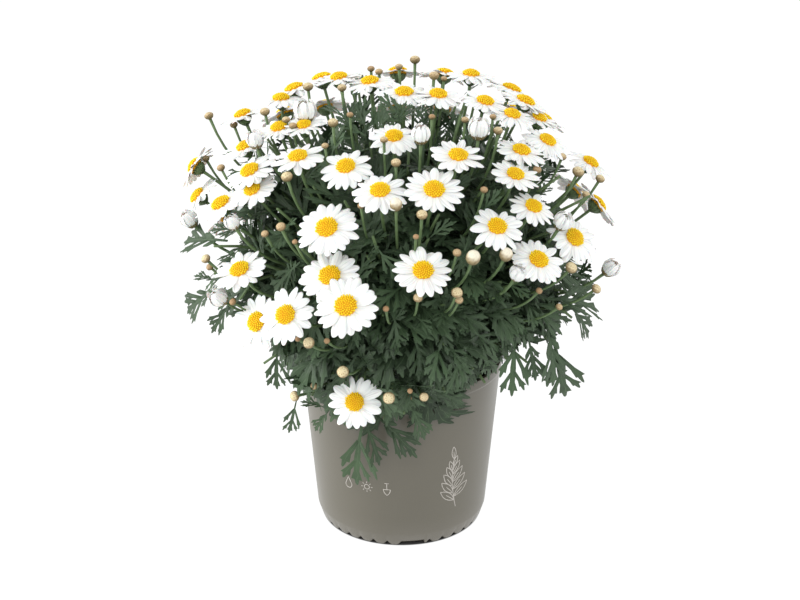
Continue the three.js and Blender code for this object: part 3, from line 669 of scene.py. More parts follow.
def make_bud_material():
    """Green-brown at the foot, then reddish tan to cream scales by tone, with brown edges and a pale top.

    Flecks break up the scales, and at tone 1 the top is nearly white.
    """
    material, tree, shader = new_material("bud_cream", Roughness=0.6, Specular_IOR_Level=0.3)
    grow, mottle = use_group(tree, GROWTH), mottled(tree, 420, 3, 2.5)
    along, tone = grow["Along"], grow["Tone"]
    top = times(tree, ramp(tree, along, 0.5, 0.8), ramp(tree, tone, 0.35, 0.85))
    edge = times(tree, ramp(tree, grow["Under"], 0.2, 0.9), 0.75)
    white = times(tree, ramp(tree, along, 0.48, 0.88), ramp(tree, tone, 0.92, 0.99))
    colour = blend(tree, tone, (0.30, 0.13, 0.06), (0.60, 0.47, 0.27))
    flecks, foot = times(tree, mottle, 0.35), times(tree, ramp(tree, along, 0.82, 0.34), 0.9)
    for share, layer in (
        (top, (0.76, 0.67, 0.42)), (edge, (0.20, 0.11, 0.045)), (flecks, (0.38, 0.24, 0.10)),
        (times(tree, white, 0.7), (0.84, 0.81, 0.70)), (foot, (0.125, 0.105, 0.045)),
    ):
        colour = blend(tree, share, colour, layer)
    paint(tree, shader, colour)
    relief(tree, shader, mottle, 0.3, 0.0003)
    return material


STALK, BUD = make_stalk_material(), make_bud_material()

# %% [markdown]
# ## The finish of pot, print and peat
# The pot is moulded plastic in a warm grey-brown: an even colour with a very fine grain and a satin shine,
# a little paler towards the foot. The print is a thin pale ink. Peat is nearly black, coarse and dull.

# %% Pot, ink and peat materials
def make_pot_material():
    """Warm grey-brown with a fine moulded grain, a little paler towards the foot."""
    material, tree, shader = new_material("pot_taupe_plastic", Roughness=0.35, Specular_IOR_Level=0.65)
    cloud = mottled(tree, 14, 3, 1.4)
    base = blend(tree, cloud, (0.104, 0.095, 0.070), (0.118, 0.109, 0.082))
    # The wall turns a little paler towards the foot, by the cloud's mottling.
    paler_towards_foot = times(tree, ramp(tree, use_group(tree, GROWTH)["Along"], 0.2, 0.0), cloud)
    paint(tree, shader, blend(tree, paler_towards_foot, base, (0.155, 0.143, 0.118)))
    tree.links.new(ramp(tree, cloud, 0.2, 0.9, (0.30, 0.40)), shader.inputs["Roughness"])
    relief(tree, shader, mottled(tree, 1400, 2, 1.6), 0.12, 0.0001)
    return material


def make_ink_material():
    """Pale warm grey, slightly uneven as thin ink is."""
    material, tree, shader = new_material("pale_ink", Roughness=0.6, Specular_IOR_Level=0.4)
    patch = mottled(tree, 300, 3, 1.6)
    paint(tree, shader, blend(tree, patch, (0.40, 0.375, 0.34), (0.52, 0.49, 0.45)))
    return material


def make_peat_material():
    """Black-brown crumbs, with lighter fibres here and there."""
    material, tree, shader = new_material("dark_peat", Roughness=0.95, Specular_IOR_Level=0.15)
    coarse = mottled(tree, 260, 6, 2.4)
    earth = blend(tree, coarse, (0.010, 0.007, 0.005), (0.05, 0.034, 0.022))
    pale = use_group(tree, GROWTH)["Tone"]
    paint(tree, shader, blend(tree, pale, earth, (0.5, 0.47, 0.42)))
    relief(tree, shader, coarse, 0.9, 0.002)
    return material


POT, INK, PEAT = make_pot_material(), make_ink_material(), make_peat_material()
print("materials:", [material.name for material in (LEAF, RAY, FLORET, STALK, BUD, POT, INK, PEAT)])


# %% [markdown]
# ## The pot
# The pot is thin moulded plastic: a slightly tapered wall that turns in near its foot, a rim band, and a
# foot ring cut into shallow scallops, with a wider gap on each side for water. It is one closed profile
# turned about the axis, so the surface is a grid of turn by profile; only the foot's edge is lifted by a
# formula of the turn. That keeps the wall's thickness, the base inside the ring and the rim in one skin.

# %% The pot's profile and scalloped foot
POT_TURNS, SCALLOPS, SCALLOP_LIFT, LIFT_FADE = 432, 36, 0.0027, 0.006
GAP_TURNS, GAP_WIDE, GAP_HIGH, GAP_EDGE = np.radians([-82, 8, 98, 188]), 0.017, 0.0028, 0.0008
ROUNDING, MIDDLE_HOLE, MIDDLE_LIFT, FOOT_IN, FOOT_UP, SLOPE = 0.0009, 0.002, 0.0002, 0.0015, 0.0025, 0.002


def rounded(points, radius, steps=4):
    """A profile whose inner corners are replaced by quadratic curves that start radius before each."""
    points = np.array(points, float)
    made = [points[:1]]
    t = np.linspace(0, 1, steps + 1)[:, None]
    for before, corner, after in zip(points[:-2], points[1:-1], points[2:]):
        reach = min(radius, np.linalg.norm(before - corner) / 2, np.linalg.norm(after - corner) / 2)
        start, end = (corner + reach * unit(way - corner) for way in (before, after))
        made.append(quadratic(start, corner, end, t))
    return np.concatenate([*made, points[-1:]])


def turned(profile, turns):
    """Rings of (radius, height) pairs turned about the axis, in the order that looks outwards."""
    radius, height = np.asarray(profile).T[..., None]
    return about_axis(radius, height, around(turns))[None]


def make_pot():
    """The pot's skin, from the middle of the base outwards, up the wall, over the rim and down inside."""
    ring, bore, band = FOOT_RADIUS - FOOT_RING, RIM_RADIUS - WALL - RIM_STEP, POT_HEIGHT - RIM_BAND
    profile = rounded([
        (MIDDLE_HOLE, MIDDLE_LIFT), (FOOT_BOSS, 0), (FOOT_BOSS + SLOPE, FOOT_LIFT), (ring - SLOPE, FOOT_LIFT),
        (ring, 0), (FOOT_RADIUS - FOOT_IN, 0), (FOOT_RADIUS, FOOT_UP), (WALL_FOOT, WALL_LOW),
        (RIM_RADIUS - RIM_STEP, band - RIM_STEP), (RIM_RADIUS, band), (RIM_RADIUS, POT_HEIGHT),
        (bore, POT_HEIGHT), (bore, band), (WALL_FOOT - WALL, WALL_LOW),
        (FOOT_RADIUS - WALL - RIM_STEP, FOOT_LIFT + FLOOR), (MIDDLE_HOLE, FOOT_LIFT + FLOOR),
    ], ROUNDING)
    outer_foot = (profile[:, 0] > ring - 0.0005) & (profile[:, 1] < 0.004)
    rings = turned(profile, POT_TURNS)
    angle = np.arctan2(rings[..., 1], rings[..., 0])
    lift = SCALLOP_LIFT * (1 - np.minimum(np.abs(np.sin(angle * SCALLOPS / 2)) * 1.25, 1))
    for turn in GAP_TURNS:
        off = np.abs((angle - turn + math.pi) % FULL_TURN - math.pi) * FOOT_RADIUS
        lift = np.maximum(lift, GAP_HIGH * np.clip(((GAP_WIDE + GAP_EDGE) / 2 - off) / GAP_EDGE, 0, 1))
    rings[..., 2] += lift * np.clip(1 - rings[..., 2] / LIFT_FADE, 0, 1) * outer_foot[None, :, None]
    rings = grown(rings, 0, rings[..., 2] / POT_HEIGHT, 0.5, 0)
    ends = [np.array([[0, 0, height, 0, 0, 0.5, 0]]) for height in (MIDDLE_LIFT, FOOT_LIFT + FLOOR)]
    return closed_tubes(rings, *ends)


pot_shape = make_pot()
add_piece("pot_skin", pot_shape, POT, ["pot"])
print("pot skin, volume of plastic", round(volume_of(pot_shape) * 1e6, 1), "cubic centimetres")


# %% [markdown]
# ## The print on the pot
# Such pots carry thin line art in a pale ink. This one gets a plain leafy sprig on the right and three small
# signs on the left: a drop, a sun and a spade. Each line is drawn flat, in metres round and up the wall, and
# is then wrapped on the cone of the wall as a flat thread of ink, a hair proud of the plastic.

# %% Print helpers
INK_LIFT, INK_DEEP = 0.00012, 0.00025


def wall_radius(height):
    """The outer radius of the pot's wall: straight from above the foot to below the rim band."""
    run = (height - WALL_LOW) / (POT_HEIGHT - RIM_BAND - RIM_STEP - WALL_LOW)
    return WALL_FOOT + (RIM_RADIUS - RIM_STEP - WALL_FOOT) * run


def flat_way(degrees):
    """The direction at an angle on the flat drawing."""
    return np.array([math.cos(math.radians(degrees)), math.sin(math.radians(degrees))])


def arc(middle, radius, start, end, steps=10):
    """Points on a circle from one angle to another, in degrees."""
    angle = np.radians(np.linspace(start, end, steps))
    return np.array(middle) + radius * np.stack([np.cos(angle), np.sin(angle)], 1)


def bow(start, end, bulge, steps=8):
    """Points from start to end on a parabola that stands bulge off the straight line, to its left."""
    start, end = np.array(start, float), np.array(end, float)
    t = np.linspace(0, 1, steps)[:, None]
    ahead = end - start
    left = np.array([-ahead[1], ahead[0]]) / np.linalg.norm(ahead)
    return start + t * ahead + 4 * t * (1 - t) * bulge * left


def ink_line(flat, width, turn, height):
    """A flat thread along flat points (round, up), wrapped on the wall about a turn and a height.

    Each point's left and right edges stand half a width off the line; the turn grows by the distance round
    over the wall's radius, and the thread's outside lies INK_LIFT off the wall and its inside under it.
    """
    ahead = unit(np.gradient(flat, axis=0))
    left = np.stack([-ahead[:, 1], ahead[:, 0]], 1) * width / 2
    edges = np.stack([flat - left, flat - left, flat + left, flat + left], 1)
    z = height + edges[..., 1]
    radius = wall_radius(z) + np.array([INK_LIFT, -INK_DEEP, -INK_DEEP, INK_LIFT])
    rings = about_axis(radius, z, turn + edges[..., 0] / wall_radius(z))
    return capped(grown(rings, 0, 0, 0.5, 0)[None])


# %% The printed sprig and signs
def leaf_outline(root, angle, length, fat):
    """Two bows from a root to a tip, and a short vein between them."""
    way = flat_way(angle) * length
    return [bow(root, root + way, fat), bow(root, root + way, -fat), bow(root, root + way * 0.6, 0, 3)]


def sprig_lines():
    """A bowed stem with leaves in pairs that get smaller upwards, and one leaf at the top."""
    stem = bow((0.004, -0.022), (0.0, 0.018), 0.002, 14)
    lines = [stem]
    for step, length in ((2, 0.015), (4, 0.0145), (6, 0.0135), (8, 0.0115), (10, 0.009)):
        lines += leaf_outline(stem[step], 150 - 4 * step, length, length * 0.17)
        lines += leaf_outline(stem[step + 1], 30 + 4 * step, length, length * 0.17)
    return lines + leaf_outline(stem[-1], 96, 0.010, 0.0017)


def sign_lines():
    """Three signs side by side: a drop, a sun with its rays, and a spade."""
    tip, sun = (-0.020, 0.0055), np.array([-0.0055, 0.0008])
    left, right, low = (0.0065, 0.0005), (0.0115, 0.0005), (0.009, -0.0042)
    return [
        np.concatenate([[tip], arc((-0.020, -0.0008), 0.0026, 150, 390, 14), [tip]]),
        arc(sun, 0.0019, 0, 360, 16),
        *(bow(*(sun + np.outer((0.0029, 0.0042), flat_way(angle))), 0, 3) for angle in range(0, 360, 45)),
        np.concatenate([bow(left, low, -0.0006), bow(low, right, -0.0006)]),
        bow(left, right, 0, 3), bow((0.009, 0.0005), (0.009, 0.0052), 0, 3),
        bow((0.0075, 0.0054), (0.0105, 0.0054), 0, 3),
    ]


SPRIG_TURN, SPRIG_HEIGHT, SIGN_TURN, SIGN_HEIGHT = math.radians(-56.5), 0.049, math.radians(-107), 0.047
LINE_WIDE, SIGN_WIDE = 0.00055, 0.0005
print_shape = joined(
    [ink_line(line, LINE_WIDE, SPRIG_TURN, SPRIG_HEIGHT) for line in sprig_lines()]
    + [ink_line(line, SIGN_WIDE, SIGN_TURN, SIGN_HEIGHT) for line in sign_lines()]
)
add_piece("pot_print", print_shape, INK, ["pot"])
print("ink threads:", len(sprig_lines()) + len(sign_lines()))


# %% [markdown]
# ## The soil
# Peat fills the pot to a finger's width under the rim. Little of it shows, so it is one skin turned to the
# inside of the pot, with its top broken up by a sum of waves, and a few hundred crumbs on it, some of them
# white perlite. A crumb is a small ball whose corners are drawn in and out.

# %% Soil and crumbs
SOIL_TURNS, SOIL_LOW, SOIL_GAP, SHOULDER = 96, 0.0051, 0.0022, SOIL_TOP - 0.002
CRUMBS, CRUMB_REACH, PALE_SHARE = 260, 0.062, 0.12


def soil_height(x, y):
    """The top of the soil: a level sheet with three crossing waves, a few millimetres at most."""
    return SOIL_TOP + 0.0012 * np.sin(190 * x + 1) * np.cos(160 * y) + 0.0007 * np.sin(420 * (x + 0.6 * y))


def make_soil():
    """The block of peat: bottom, side and waved top, as a closed profile turned about the axis."""
    inner, shoulder = WALL_FOOT - WALL, wall_radius(SHOULDER) - SOIL_GAP
    side = [(inner - SOIL_GAP, SOIL_LOW), (inner - 0.0003, WALL_LOW), (shoulder, SHOULDER)]
    top = [(radius, SOIL_TOP) for radius in np.linspace(CRUMB_REACH, 0.004, 16)]
    rings = turned([(0.004, SOIL_LOW), *side, *top], SOIL_TURNS)
    lifted = rings[..., 2] > SOIL_TOP - 0.0005
    rings[..., 2] = np.where(lifted, soil_height(rings[..., 0], rings[..., 1]), rings[..., 2])
    return capped(grown(rings, 0, 0, 0, 0))


def crumbs(random):
    """Small uneven balls over the soil: three rings of six corners, each corner's radius drawn anew."""
    reach, angle = CRUMB_REACH * np.sqrt(random.random(CRUMBS)), random.uniform(0, FULL_TURN, CRUMBS)
    middle, size = about_axis(reach, 0, angle), random.uniform(0.0006, 0.0021, CRUMBS)
    middle[:, 2] = soil_height(*middle.T[:2]) + 0.3 * size
    level = np.radians([-50, 0, 50])[:, None]
    ball = about_axis(np.cos(level), np.sin(level), around(6))
    rough = random.uniform(0.7, 1.2, (CRUMBS, 3, 6, 1)) * size[:, None, None, None]
    pale = (random.random(CRUMBS) < PALE_SHARE).astype(float)
    rings = grown(ball * rough + middle[:, None, None], 0, 0, pale[:, None, None], 0)
    ends = [grown(middle + np.outer(sign * size, UP), 0, 0, pale, 0) for sign in (-1, 1)]
    return closed_tubes(rings, *ends)


soil_shape = joined([make_soil(), crumbs(stream("crumb"))])
add_piece("soil_peat", soil_shape, PEAT, ["soil"])
print("soil with", CRUMBS, "crumbs")


# %% [markdown]
# ## Paths for stems and stalks
# Seven main stems stand in the soil, each in its own sector of the bush. From the upper part of its stem, a
# branch runs out to every shoot, bud and bloom of that sector. A stalk's last stretch turns until it runs
# along the way its flower faces, because a marguerite carries its head square on the stalk. All paths are
# Bezier curves: cheap to work out for a whole batch, and smooth where a plant is smooth.

# %% Bezier paths and tubes along them
def bernstein(t):
    """The weights of a cubic curve's four control points at t, along a new last axis."""
    t = np.asarray(t)[..., None]
    return np.concatenate([(1 - t) ** 3, 3 * t * (1 - t) ** 2, 3 * t * t * (1 - t), t ** 3], -1)


def bezier(control, t):
    """Points at t on cubic curves: control is (curves, 4, 3) and t (steps,)."""
    return np.einsum("sw,cwx->csx", bernstein(t), control)


def pulled(start, leave, arrive, end):
    """Control points of curves that leave start by one vector and arrive at end by another."""
    return np.stack([start, start + leave, end - arrive, end], 1)


def fan_of(first, second, angle):
    """Directions that turn from first towards second by each angle, along a new axis before the last."""
    return first[..., None, :] * np.cos(angle)[:, None] + second[..., None, :] * np.sin(angle)[:, None]


def tubes_along(path, radius, across, tone, sides=6):
    """Round tubes along paths (batch, steps, 3), with a radius and a tone for each step.

    The ring at each step lies square to the path: one axis is the level direction across, made square to
    the path, and the other is the path's direction crossed with it.
    """
    ahead = unit(np.gradient(path, axis=1))
    first = square_to(ahead, across[:, None])
    angle = around(sides)
    rings = path[:, :, None] + fan_of(first, np.cross(ahead, first), angle) * radius[:, None, None]
    along = np.linspace(0, 1, len(radius))[:, None]
    return capped(grown(rings, angle / FULL_TURN * 0.98, along, tone[:, None], 0))


def stem_turn(stem):
    """The turn of a stem about the pot's axis, in the middle of its sector."""
    return np.radians(STEM_TURN + 360 / STEMS * (np.asarray(stem) + 0.5))


def stem_of(turn):
    """The number of the sector that a turn lies in."""
    return (np.mod(turn - math.radians(STEM_TURN), FULL_TURN) // (FULL_TURN / STEMS)).astype(int)


def stem_point(stem, t):
    """A point of a main stem: from its hole, up out of the soil and outwards."""
    stations = (STEM_RING, SOIL_TOP - STEM_DEPTH), (STEM_RING, KNEE_Z), (STEM_REACH, STEM_TOP)
    foot, knee, top = (about_axis(reach, height, stem_turn(stem)) for reach, height in stations)
    return quadratic(foot, knee, top, np.asarray(t)[..., None])


# %% Stalk paths
CORE_COVER, SHORTEST_STALK, STALK_PULL, BRANCH_PULL = 0.009, 0.014, (0.35, 0.42), (0.3, 0.4)


def stalk_paths(head, back):
    """Control points of each stalk's last stretch, from inside the core to back behind its head."""
    tip = head["place"] - head["face"] * back[:, None]
    way = unit(tip - CROWN)
    line, start = way / CORE, (CROWN - UP * CORE_Z) / CORE
    a, b, c = (line * line).sum(1), line @ start, start @ start - 1
    reach = (np.sqrt(b * b - a * c) - b) / a - CORE_COVER
    reach = np.minimum(reach, np.linalg.norm(tip - CROWN, axis=1) - SHORTEST_STALK)
    root = CROWN + way * reach[:, None]
    length = np.linalg.norm(tip - root, axis=1)[:, None]
    return pulled(root, way * length * STALK_PULL[0], head["face"] * length * STALK_PULL[1], tip), way


def branch_paths(root, way, turn, random):
    """Control points of branches from the upper part of the sector's stem to the root of a stalk or shoot."""
    start = stem_point(stem_of(turn), random.uniform(0.55, 0.98, len(root)))
    length = np.linalg.norm(root - start, axis=1)[:, None]
    return pulled(start, UP * length * BRANCH_PULL[0], way * length * BRANCH_PULL[1], root)


# Each kind of head: how far behind its middle the stalk ends (a share of its radius, and metres more),
# and how thick the stalk is.
KINDS = (
    ("bloom", blooms, 0, HUB_DEPTH + 0.0003, 0.00105), ("half open", half_open, 1, 0, 0.001),
    ("bud", buds, 0.66, 0, 0.0009), ("small bud", small_buds, 0.66, 0, 0.0008),
)
for index, (name, head, share, further, _) in enumerate(KINDS):
    head["path"], way = stalk_paths(head, head["radius"] * share + further)
    head["branch"] = branch_paths(head["path"][:, 0], way, head["turn"], stream("branch", index))
    head["stem"] = stem_of(head["turn"])
    reach = np.linalg.norm(head["path"][:, 3] - head["path"][:, 0], axis=1)
    print(name, "stalks", np.round(reach.mean(), 3), "m long")


# %% Stalk tubes with the cup under each bloom
BRANCH_STEPS, STALK_STEPS, BRANCH_SWELL, TIP_SWELL = 7, 12, 1.4, 1.25
CUP = np.array([
    (0.07, -0.0078), (0.12, -0.0068), (0.22, -0.0056), (0.285, -0.0040), (0.29, -0.0024), (0.26, -0.0008),
])


def stalk_tubes(head, pick, thin):
    """Tubes of branch and stalk in one: thicker towards the stem, and a little wider under the head."""
    branch = bezier(head["branch"][pick], np.linspace(0, 1, BRANCH_STEPS))
    stalk = bezier(head["path"][pick], np.linspace(0, 1, STALK_STEPS)[1:])
    swell = np.ones(BRANCH_STEPS + STALK_STEPS - 1)
    swell[:BRANCH_STEPS], swell[-1] = np.linspace(BRANCH_SWELL, 1, BRANCH_STEPS), TIP_SWELL
    tone = np.clip(np.linspace(0.15, 1.5, len(swell)), 0, 1)
    return tubes_along(np.concatenate([branch, stalk], 1), thin * swell, head["side"][pick], tone)


def local_rings(head, pick, flat):
    """Rings made about a head's own axes, carried to the plant: x is side x face, y side and z face."""
    basis = np.stack([np.cross(head["side"], head["face"]), head["side"], head["face"]], 1)[pick]
    turned_rings = np.einsum("k...a,kab->k...b", flat[..., :3], basis)
    place = head["place"][pick].reshape(len(flat), *([1] * (flat.ndim - 2)), 3)
    return np.concatenate([turned_rings + place, flat[..., 3:]], -1)


def cups(head, pick, sides=14):
    """The green cup that holds the rays: rings from the stalk's end, out under the rays, up to the hub."""
    (share, height), angle = CUP.T[..., None], around(sides)
    rings = about_axis(head["radius"][pick][:, None, None] * share, height, angle)
    rings = grown(rings, angle / 7, np.linspace(0, 0.9, len(CUP))[:, None], 1.0, 0)
    return capped(local_rings(head, pick, rings))


# %% [markdown]
# ## Bracts
# Under every marguerite head lie overlapping green scales with papery edges. They show on the heads that
# look away from the viewer and from behind. A scale is a short pointed strip that hugs the cup; two rows of
# them stand in turn.

# %% Bract scales
BRACTS, BRACT_RUN, BRACT_HALF = 11, np.array([0.0, 0.5, 0.85]), np.array([0.045, 0.062, 0.035])
BRACT_CORNERS = np.array([(1, 0.0), (0, 0.00035), (-1, 0.0), (0, -0.00035)])
BRACT_ROWS = np.array([(0.10, 0.275, -0.0072, -0.0032), (0.17, 0.335, -0.0062, -0.0018)])


def bracts(head, pick):
    """Two rows of scales on each cup: a strip from the row's foot to its tip, with a raised middle."""
    row, radius = np.repeat([0, 1], BRACTS), head["radius"][pick][:, None, None, None]
    turn = (np.tile(np.arange(BRACTS), 2) + 0.5 * row) * FULL_TURN / BRACTS
    (foot, tip, low, high), (across, skin) = BRACT_ROWS[row].T[..., None], BRACT_CORNERS.T
    reach, height = foot + (tip - foot) * BRACT_RUN ** 0.8, low + (high - low) * BRACT_RUN ** 1.3
    half = -radius * BRACT_HALF[:, None] * across
    rings = about_axis(radius * reach[..., None], height[..., None] - skin, turn[:, None, None], half)
    rings = grown(rings, across, BRACT_RUN[:, None], 0.9, 0).reshape(len(radius), -1, 4, 7)
    return pointed(local_rings(head, pick, rings).reshape(-1, 3, 4, 7), 0.9, 0)


# %% [markdown]
# ## Main stems
# The stems are woody at the foot and green higher up. Small swellings mark where old leaves stood.

# %% Main stems
def main_stem(stem):
    """A tapering tube along the stem's curve, with a slight swelling every tenth of its length."""
    t = np.linspace(0.0, 1.0, 22)
    radius = STEM_RADIUS * (1 - 0.3 * t) * (1 + 0.10 * np.maximum(np.cos(t * 20 * math.pi), 0))
    across = about_axis(0, 0, stem_turn(stem), 1)[None]
    return tubes_along(stem_point(stem, t)[None], radius, across, np.clip(t * 0.7 - 0.1, 0, 1), 10)


# %% [markdown]
# ## Rays
# A ring of rays is sixteen to twenty-one narrow petals in two layers. Each is widest beyond its middle and
# ends in a blunt tip with two small notches; it is slightly channelled along its length, and it rises a
# little at the foot before it droops. So a petal is a ring of six points (five on top, one under) carried
# along its own length, with a half width, a height and a cross profile that are formulas of how far along
# it is. Every petal gets its own small changes, and those of a young bloom droop less.

# %% Ray petals
PETAL_RUN = np.array([0.0, 0.18, 0.40, 0.60, 0.78, 0.90, 0.965])
PETAL_ACROSS = np.array([1, 0.5, 0, -0.5, -1, 0])
PETAL_UNDER = np.array([0, 0, 0, 0, 0, 1])
PETALS, PETAL_FOOT, PETAL_WIDE, PETAL_THICK = (16, 22), 0.22, 0.160, 0.00022
UNEVEN, LENGTHS, BREADTHS, SAGS = (-0.16, 0.16), (0.91, 1.05), (0.88, 1.1), (0.4, 1.5)
RISES, TWISTS, BENDS, NOTCHES = (0.0004, 0.0016), (-0.35, 0.35), (-0.05, 0.05), (0.2, 1.0)
UNDER_SHORT, UNDER_SAG, UNDER_SINK = 0.02, 0.0012, 0.0004
TOOTH, TOOTH_FROM, ROUND_END, GROOVE, CUPPED = 0.03, 0.85, 0.035, 0.012, 0.045


def petal_half_width(run):
    """Half width over the run: a quarter sine up from the foot, then down by a power to a blunt tip."""
    swell = 0.48 + 0.52 * np.sin(np.minimum(run / 0.6, 1) * math.pi / 2) ** 1.1
    return swell * (1 - 0.68 * (np.maximum(run - 0.58, 0) / 0.42) ** 2.3)


def petals_of(bloom, index):
    """All petals of one bloom, as rings (petals, rows, 6, 7) about the bloom's own axes.

    Height over the run: rise x sin(pi run / 2) - droop x run squared, plus the cross profile: two shallow
    grooves, as a cosine of one wave each side, and edges cupped down by the square of across. Twist turns
    the cross profile about the petal. Every second petal is of the lower layer.
    """
    random, radius, (spin, droop) = stream("petal", index), bloom["radius"][index], SPIN_DROOP[index]
    run, across, foot, count = PETAL_RUN[:, None], PETAL_ACROSS, PETAL_FOOT * radius, random.integers(*PETALS)
    number = np.arange(count)[:, None, None]
    layer = number % 2
    angle = spin + (number + each(random, count, *UNEVEN)) * FULL_TURN / count
    length = radius * each(random, count, *LENGTHS) * (1 - UNDER_SHORT * layer)
    half = radius * PETAL_WIDE * each(random, count, *BREADTHS) * petal_half_width(run)
    sag = droop * each(random, count, *SAGS) + UNDER_SAG * layer
    rise, twist, bend, notch = (each(random, count, *reach) for reach in (RISES, TWISTS, BENDS, NOTCHES))
    tooth = TOOTH * notch * np.clip((run - TOOTH_FROM) / 0.1, 0, 1) * (1 - np.cos(across * FULL_TURN)) / 2
    reach = foot + (length - foot) * (run * (1 - ROUND_END * across ** 2) + tooth)
    thick = PETAL_THICK * (1 - PETAL_UNDER * 2) * (1 - across ** 2)
    arch = np.sin(run * math.pi)
    groove = GROOVE * radius * arch ** 0.6 * np.cos(across * FULL_TURN) * (1 - PETAL_UNDER)
    height = rise * np.sin(run * math.pi / 2) - sag * run ** 2 - UNDER_SINK * layer + thick + groove
    height = height - CUPPED * radius * across ** 2 * arch + half * across * twist * run
    rings = about_axis(reach, height, angle, half * across + length * bend * run ** 2)
    return grown(rings, across, run, each(random, count), PETAL_UNDER)


def petal_tubes(bloom, index):
    """The petals of one bloom in their place, closed at the foot and at the tip."""
    rings = petals_of(bloom, index)
    return pointed(local_rings(bloom, np.full(len(rings), index), rings), 0.35)


# %% [markdown]
# ## Discs
# The yellow disc is a low dome of some ninety tubular florets. They stand in the spiral that packs a
# round head evenly: each next one turns on by the golden angle, and its distance grows with the square root
# of its number. The outer ones are open and stand a little taller; the inner ones are tight buds.

# %% Disc florets
FLORETS, GOLDEN_ANGLE = 88, math.pi * (3 - math.sqrt(5))
DISC_EDGE, FLORET_SINK, FLORET_LEAN = 0.97, 0.0007, 0.35
DOME_SHARES, DOME_SINK = np.array([0.93, 0.97, 0.88, 0.7, 0.45, 0.2]), 0.0005
FLORET_RUN, FLORET_SWELL = np.array([0.0, 0.6, 0.95]), np.array([0.7, 1.0, 0.72])


def disc_height(share):
    """The dome's height over the seat: its full height x (1 - 0.72 share^2.4), a flattened cap."""
    return DISC_HIGH * (1 - 0.72 * share ** 2.4)


def disc_of(bloom, index):
    """The dome under the florets, and the florets: short five-sided tubes that widen and close on top."""
    random, wide = stream("floret", index), DISC_SHARE * 1.02 * bloom["radius"][index]
    heights = np.array([-0.0012, 0.0006, *disc_height(DOME_SHARES[2:])]) - DOME_SINK
    dome = about_axis(wide * DOME_SHARES[:, None], heights[:, None], around(20))[None]
    dome = local_rings(bloom, [index], grown(dome, 0, 0.1, 0.2, 0))
    number = np.arange(FLORETS)
    share, turn = np.sqrt((number + 0.5) / FLORETS) * DISC_EDGE, number * GOLDEN_ANGLE
    size = wide * (0.080 + 0.024 * share) * random.uniform(0.88, 1.12, FLORETS)
    tall = 0.0011 + 0.0004 * share ** 3 + random.uniform(-0.0002, 0.0002, FLORETS)
    tone = np.clip(0.35 + 0.5 * share + random.uniform(-0.2, 0.2, FLORETS), 0, 1)
    foot = about_axis(wide * share, disc_height(share) - FLORET_SINK, turn)
    axis, across = unit(about_axis(FLORET_LEAN * share, 1, turn)), about_axis(0, 0, turn, 1)
    middle = foot[:, None] + axis[:, None] * np.outer(tall, FLORET_RUN)[..., None]
    spread = fan_of(across, np.cross(axis, across), around(5))
    rings = middle[:, :, None] + spread[:, None] * np.outer(size, FLORET_SWELL)[..., None, None]
    rings = grown(rings, 0, FLORET_RUN[:, None], tone[:, None, None], 0).reshape(1, -1, 5, 7)
    rings = local_rings(bloom, [index], rings).reshape(FLORETS, 3, 5, 7)
    return joined([capped(dome), capped(rings)])


# %% [markdown]
# ## Which solid each bloom stands in
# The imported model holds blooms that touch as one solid, named for the first of them. A bloom whose own
# number is in no solid's name belongs to the solid whose box holds its ring best, so the frame is asked.

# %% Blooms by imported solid
def reach_beyond(node, place, radius):
    """How far a ring of a radius about a place sticks out of a node's box, in metres."""
    low, high = (np.array(corner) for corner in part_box(node))
    return float(np.maximum(low - (place - radius * 0.6), (place + radius * 0.6) - high).clip(0).sum())


ray_nodes = sorted(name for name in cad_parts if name.startswith("rays_"))
owners = {name: [] for name in ray_nodes}
for index, (place, radius) in enumerate(zip(blooms["place"], blooms["radius"])):
    own = f"rays_{index + 1}"
    own = own if own in owners else min(ray_nodes, key=lambda node: reach_beyond(node, place, radius))
    owners[own].append(index)
print(sum(len(found) > 1 for found in owners.values()), "solids hold more than one bloom")

# %% Rays and discs as pieces
for node, members in owners.items():
    number = node.removeprefix("rays_")
    own_disc = [name for name in (f"disc_{index + 1}" for index in members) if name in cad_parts]
    petals, florets = (joined([make(blooms, index) for index in members]) for make in (petal_tubes, disc_of))
    add_piece(f"petals_{number}", petals, RAY, [node])
    add_piece(f"florets_{number}", florets, FLORET, [node, *own_disc])


def triangles_in(*kinds):
    """How many triangles all pieces have whose names begin with one of kinds."""
    return sum(count for name, count in MADE.items() if name.startswith(kinds))


print(len(owners), "rings of petals,", triangles_in("petals"), "and", triangles_in("florets"), "triangles")


# %% [markdown]
# ## Buds
# A closed bud is a globe a few millimetres across, pressed a little flat, wrapped in scales that show as low
# ribs which lean round it. So its radius is a formula of its own latitude and turn. A half-open bud shows a
# tuft of rays that still stand upright and close together over the green cup, like a small white goblet.

# %% Closed buds
BUD_SIDES, BUD_ROWS, BUD_LEVELS, SCALES, SCALE_ROWS = 24, 11, (-1.25, 1.3), 8, 4
RIPE_BUD, FLAT, RIPE_TALL, BUD_RAISED, SMALL_AND_BROWN = 0.0042, 0.84, 0.4, 0.03, 0.004


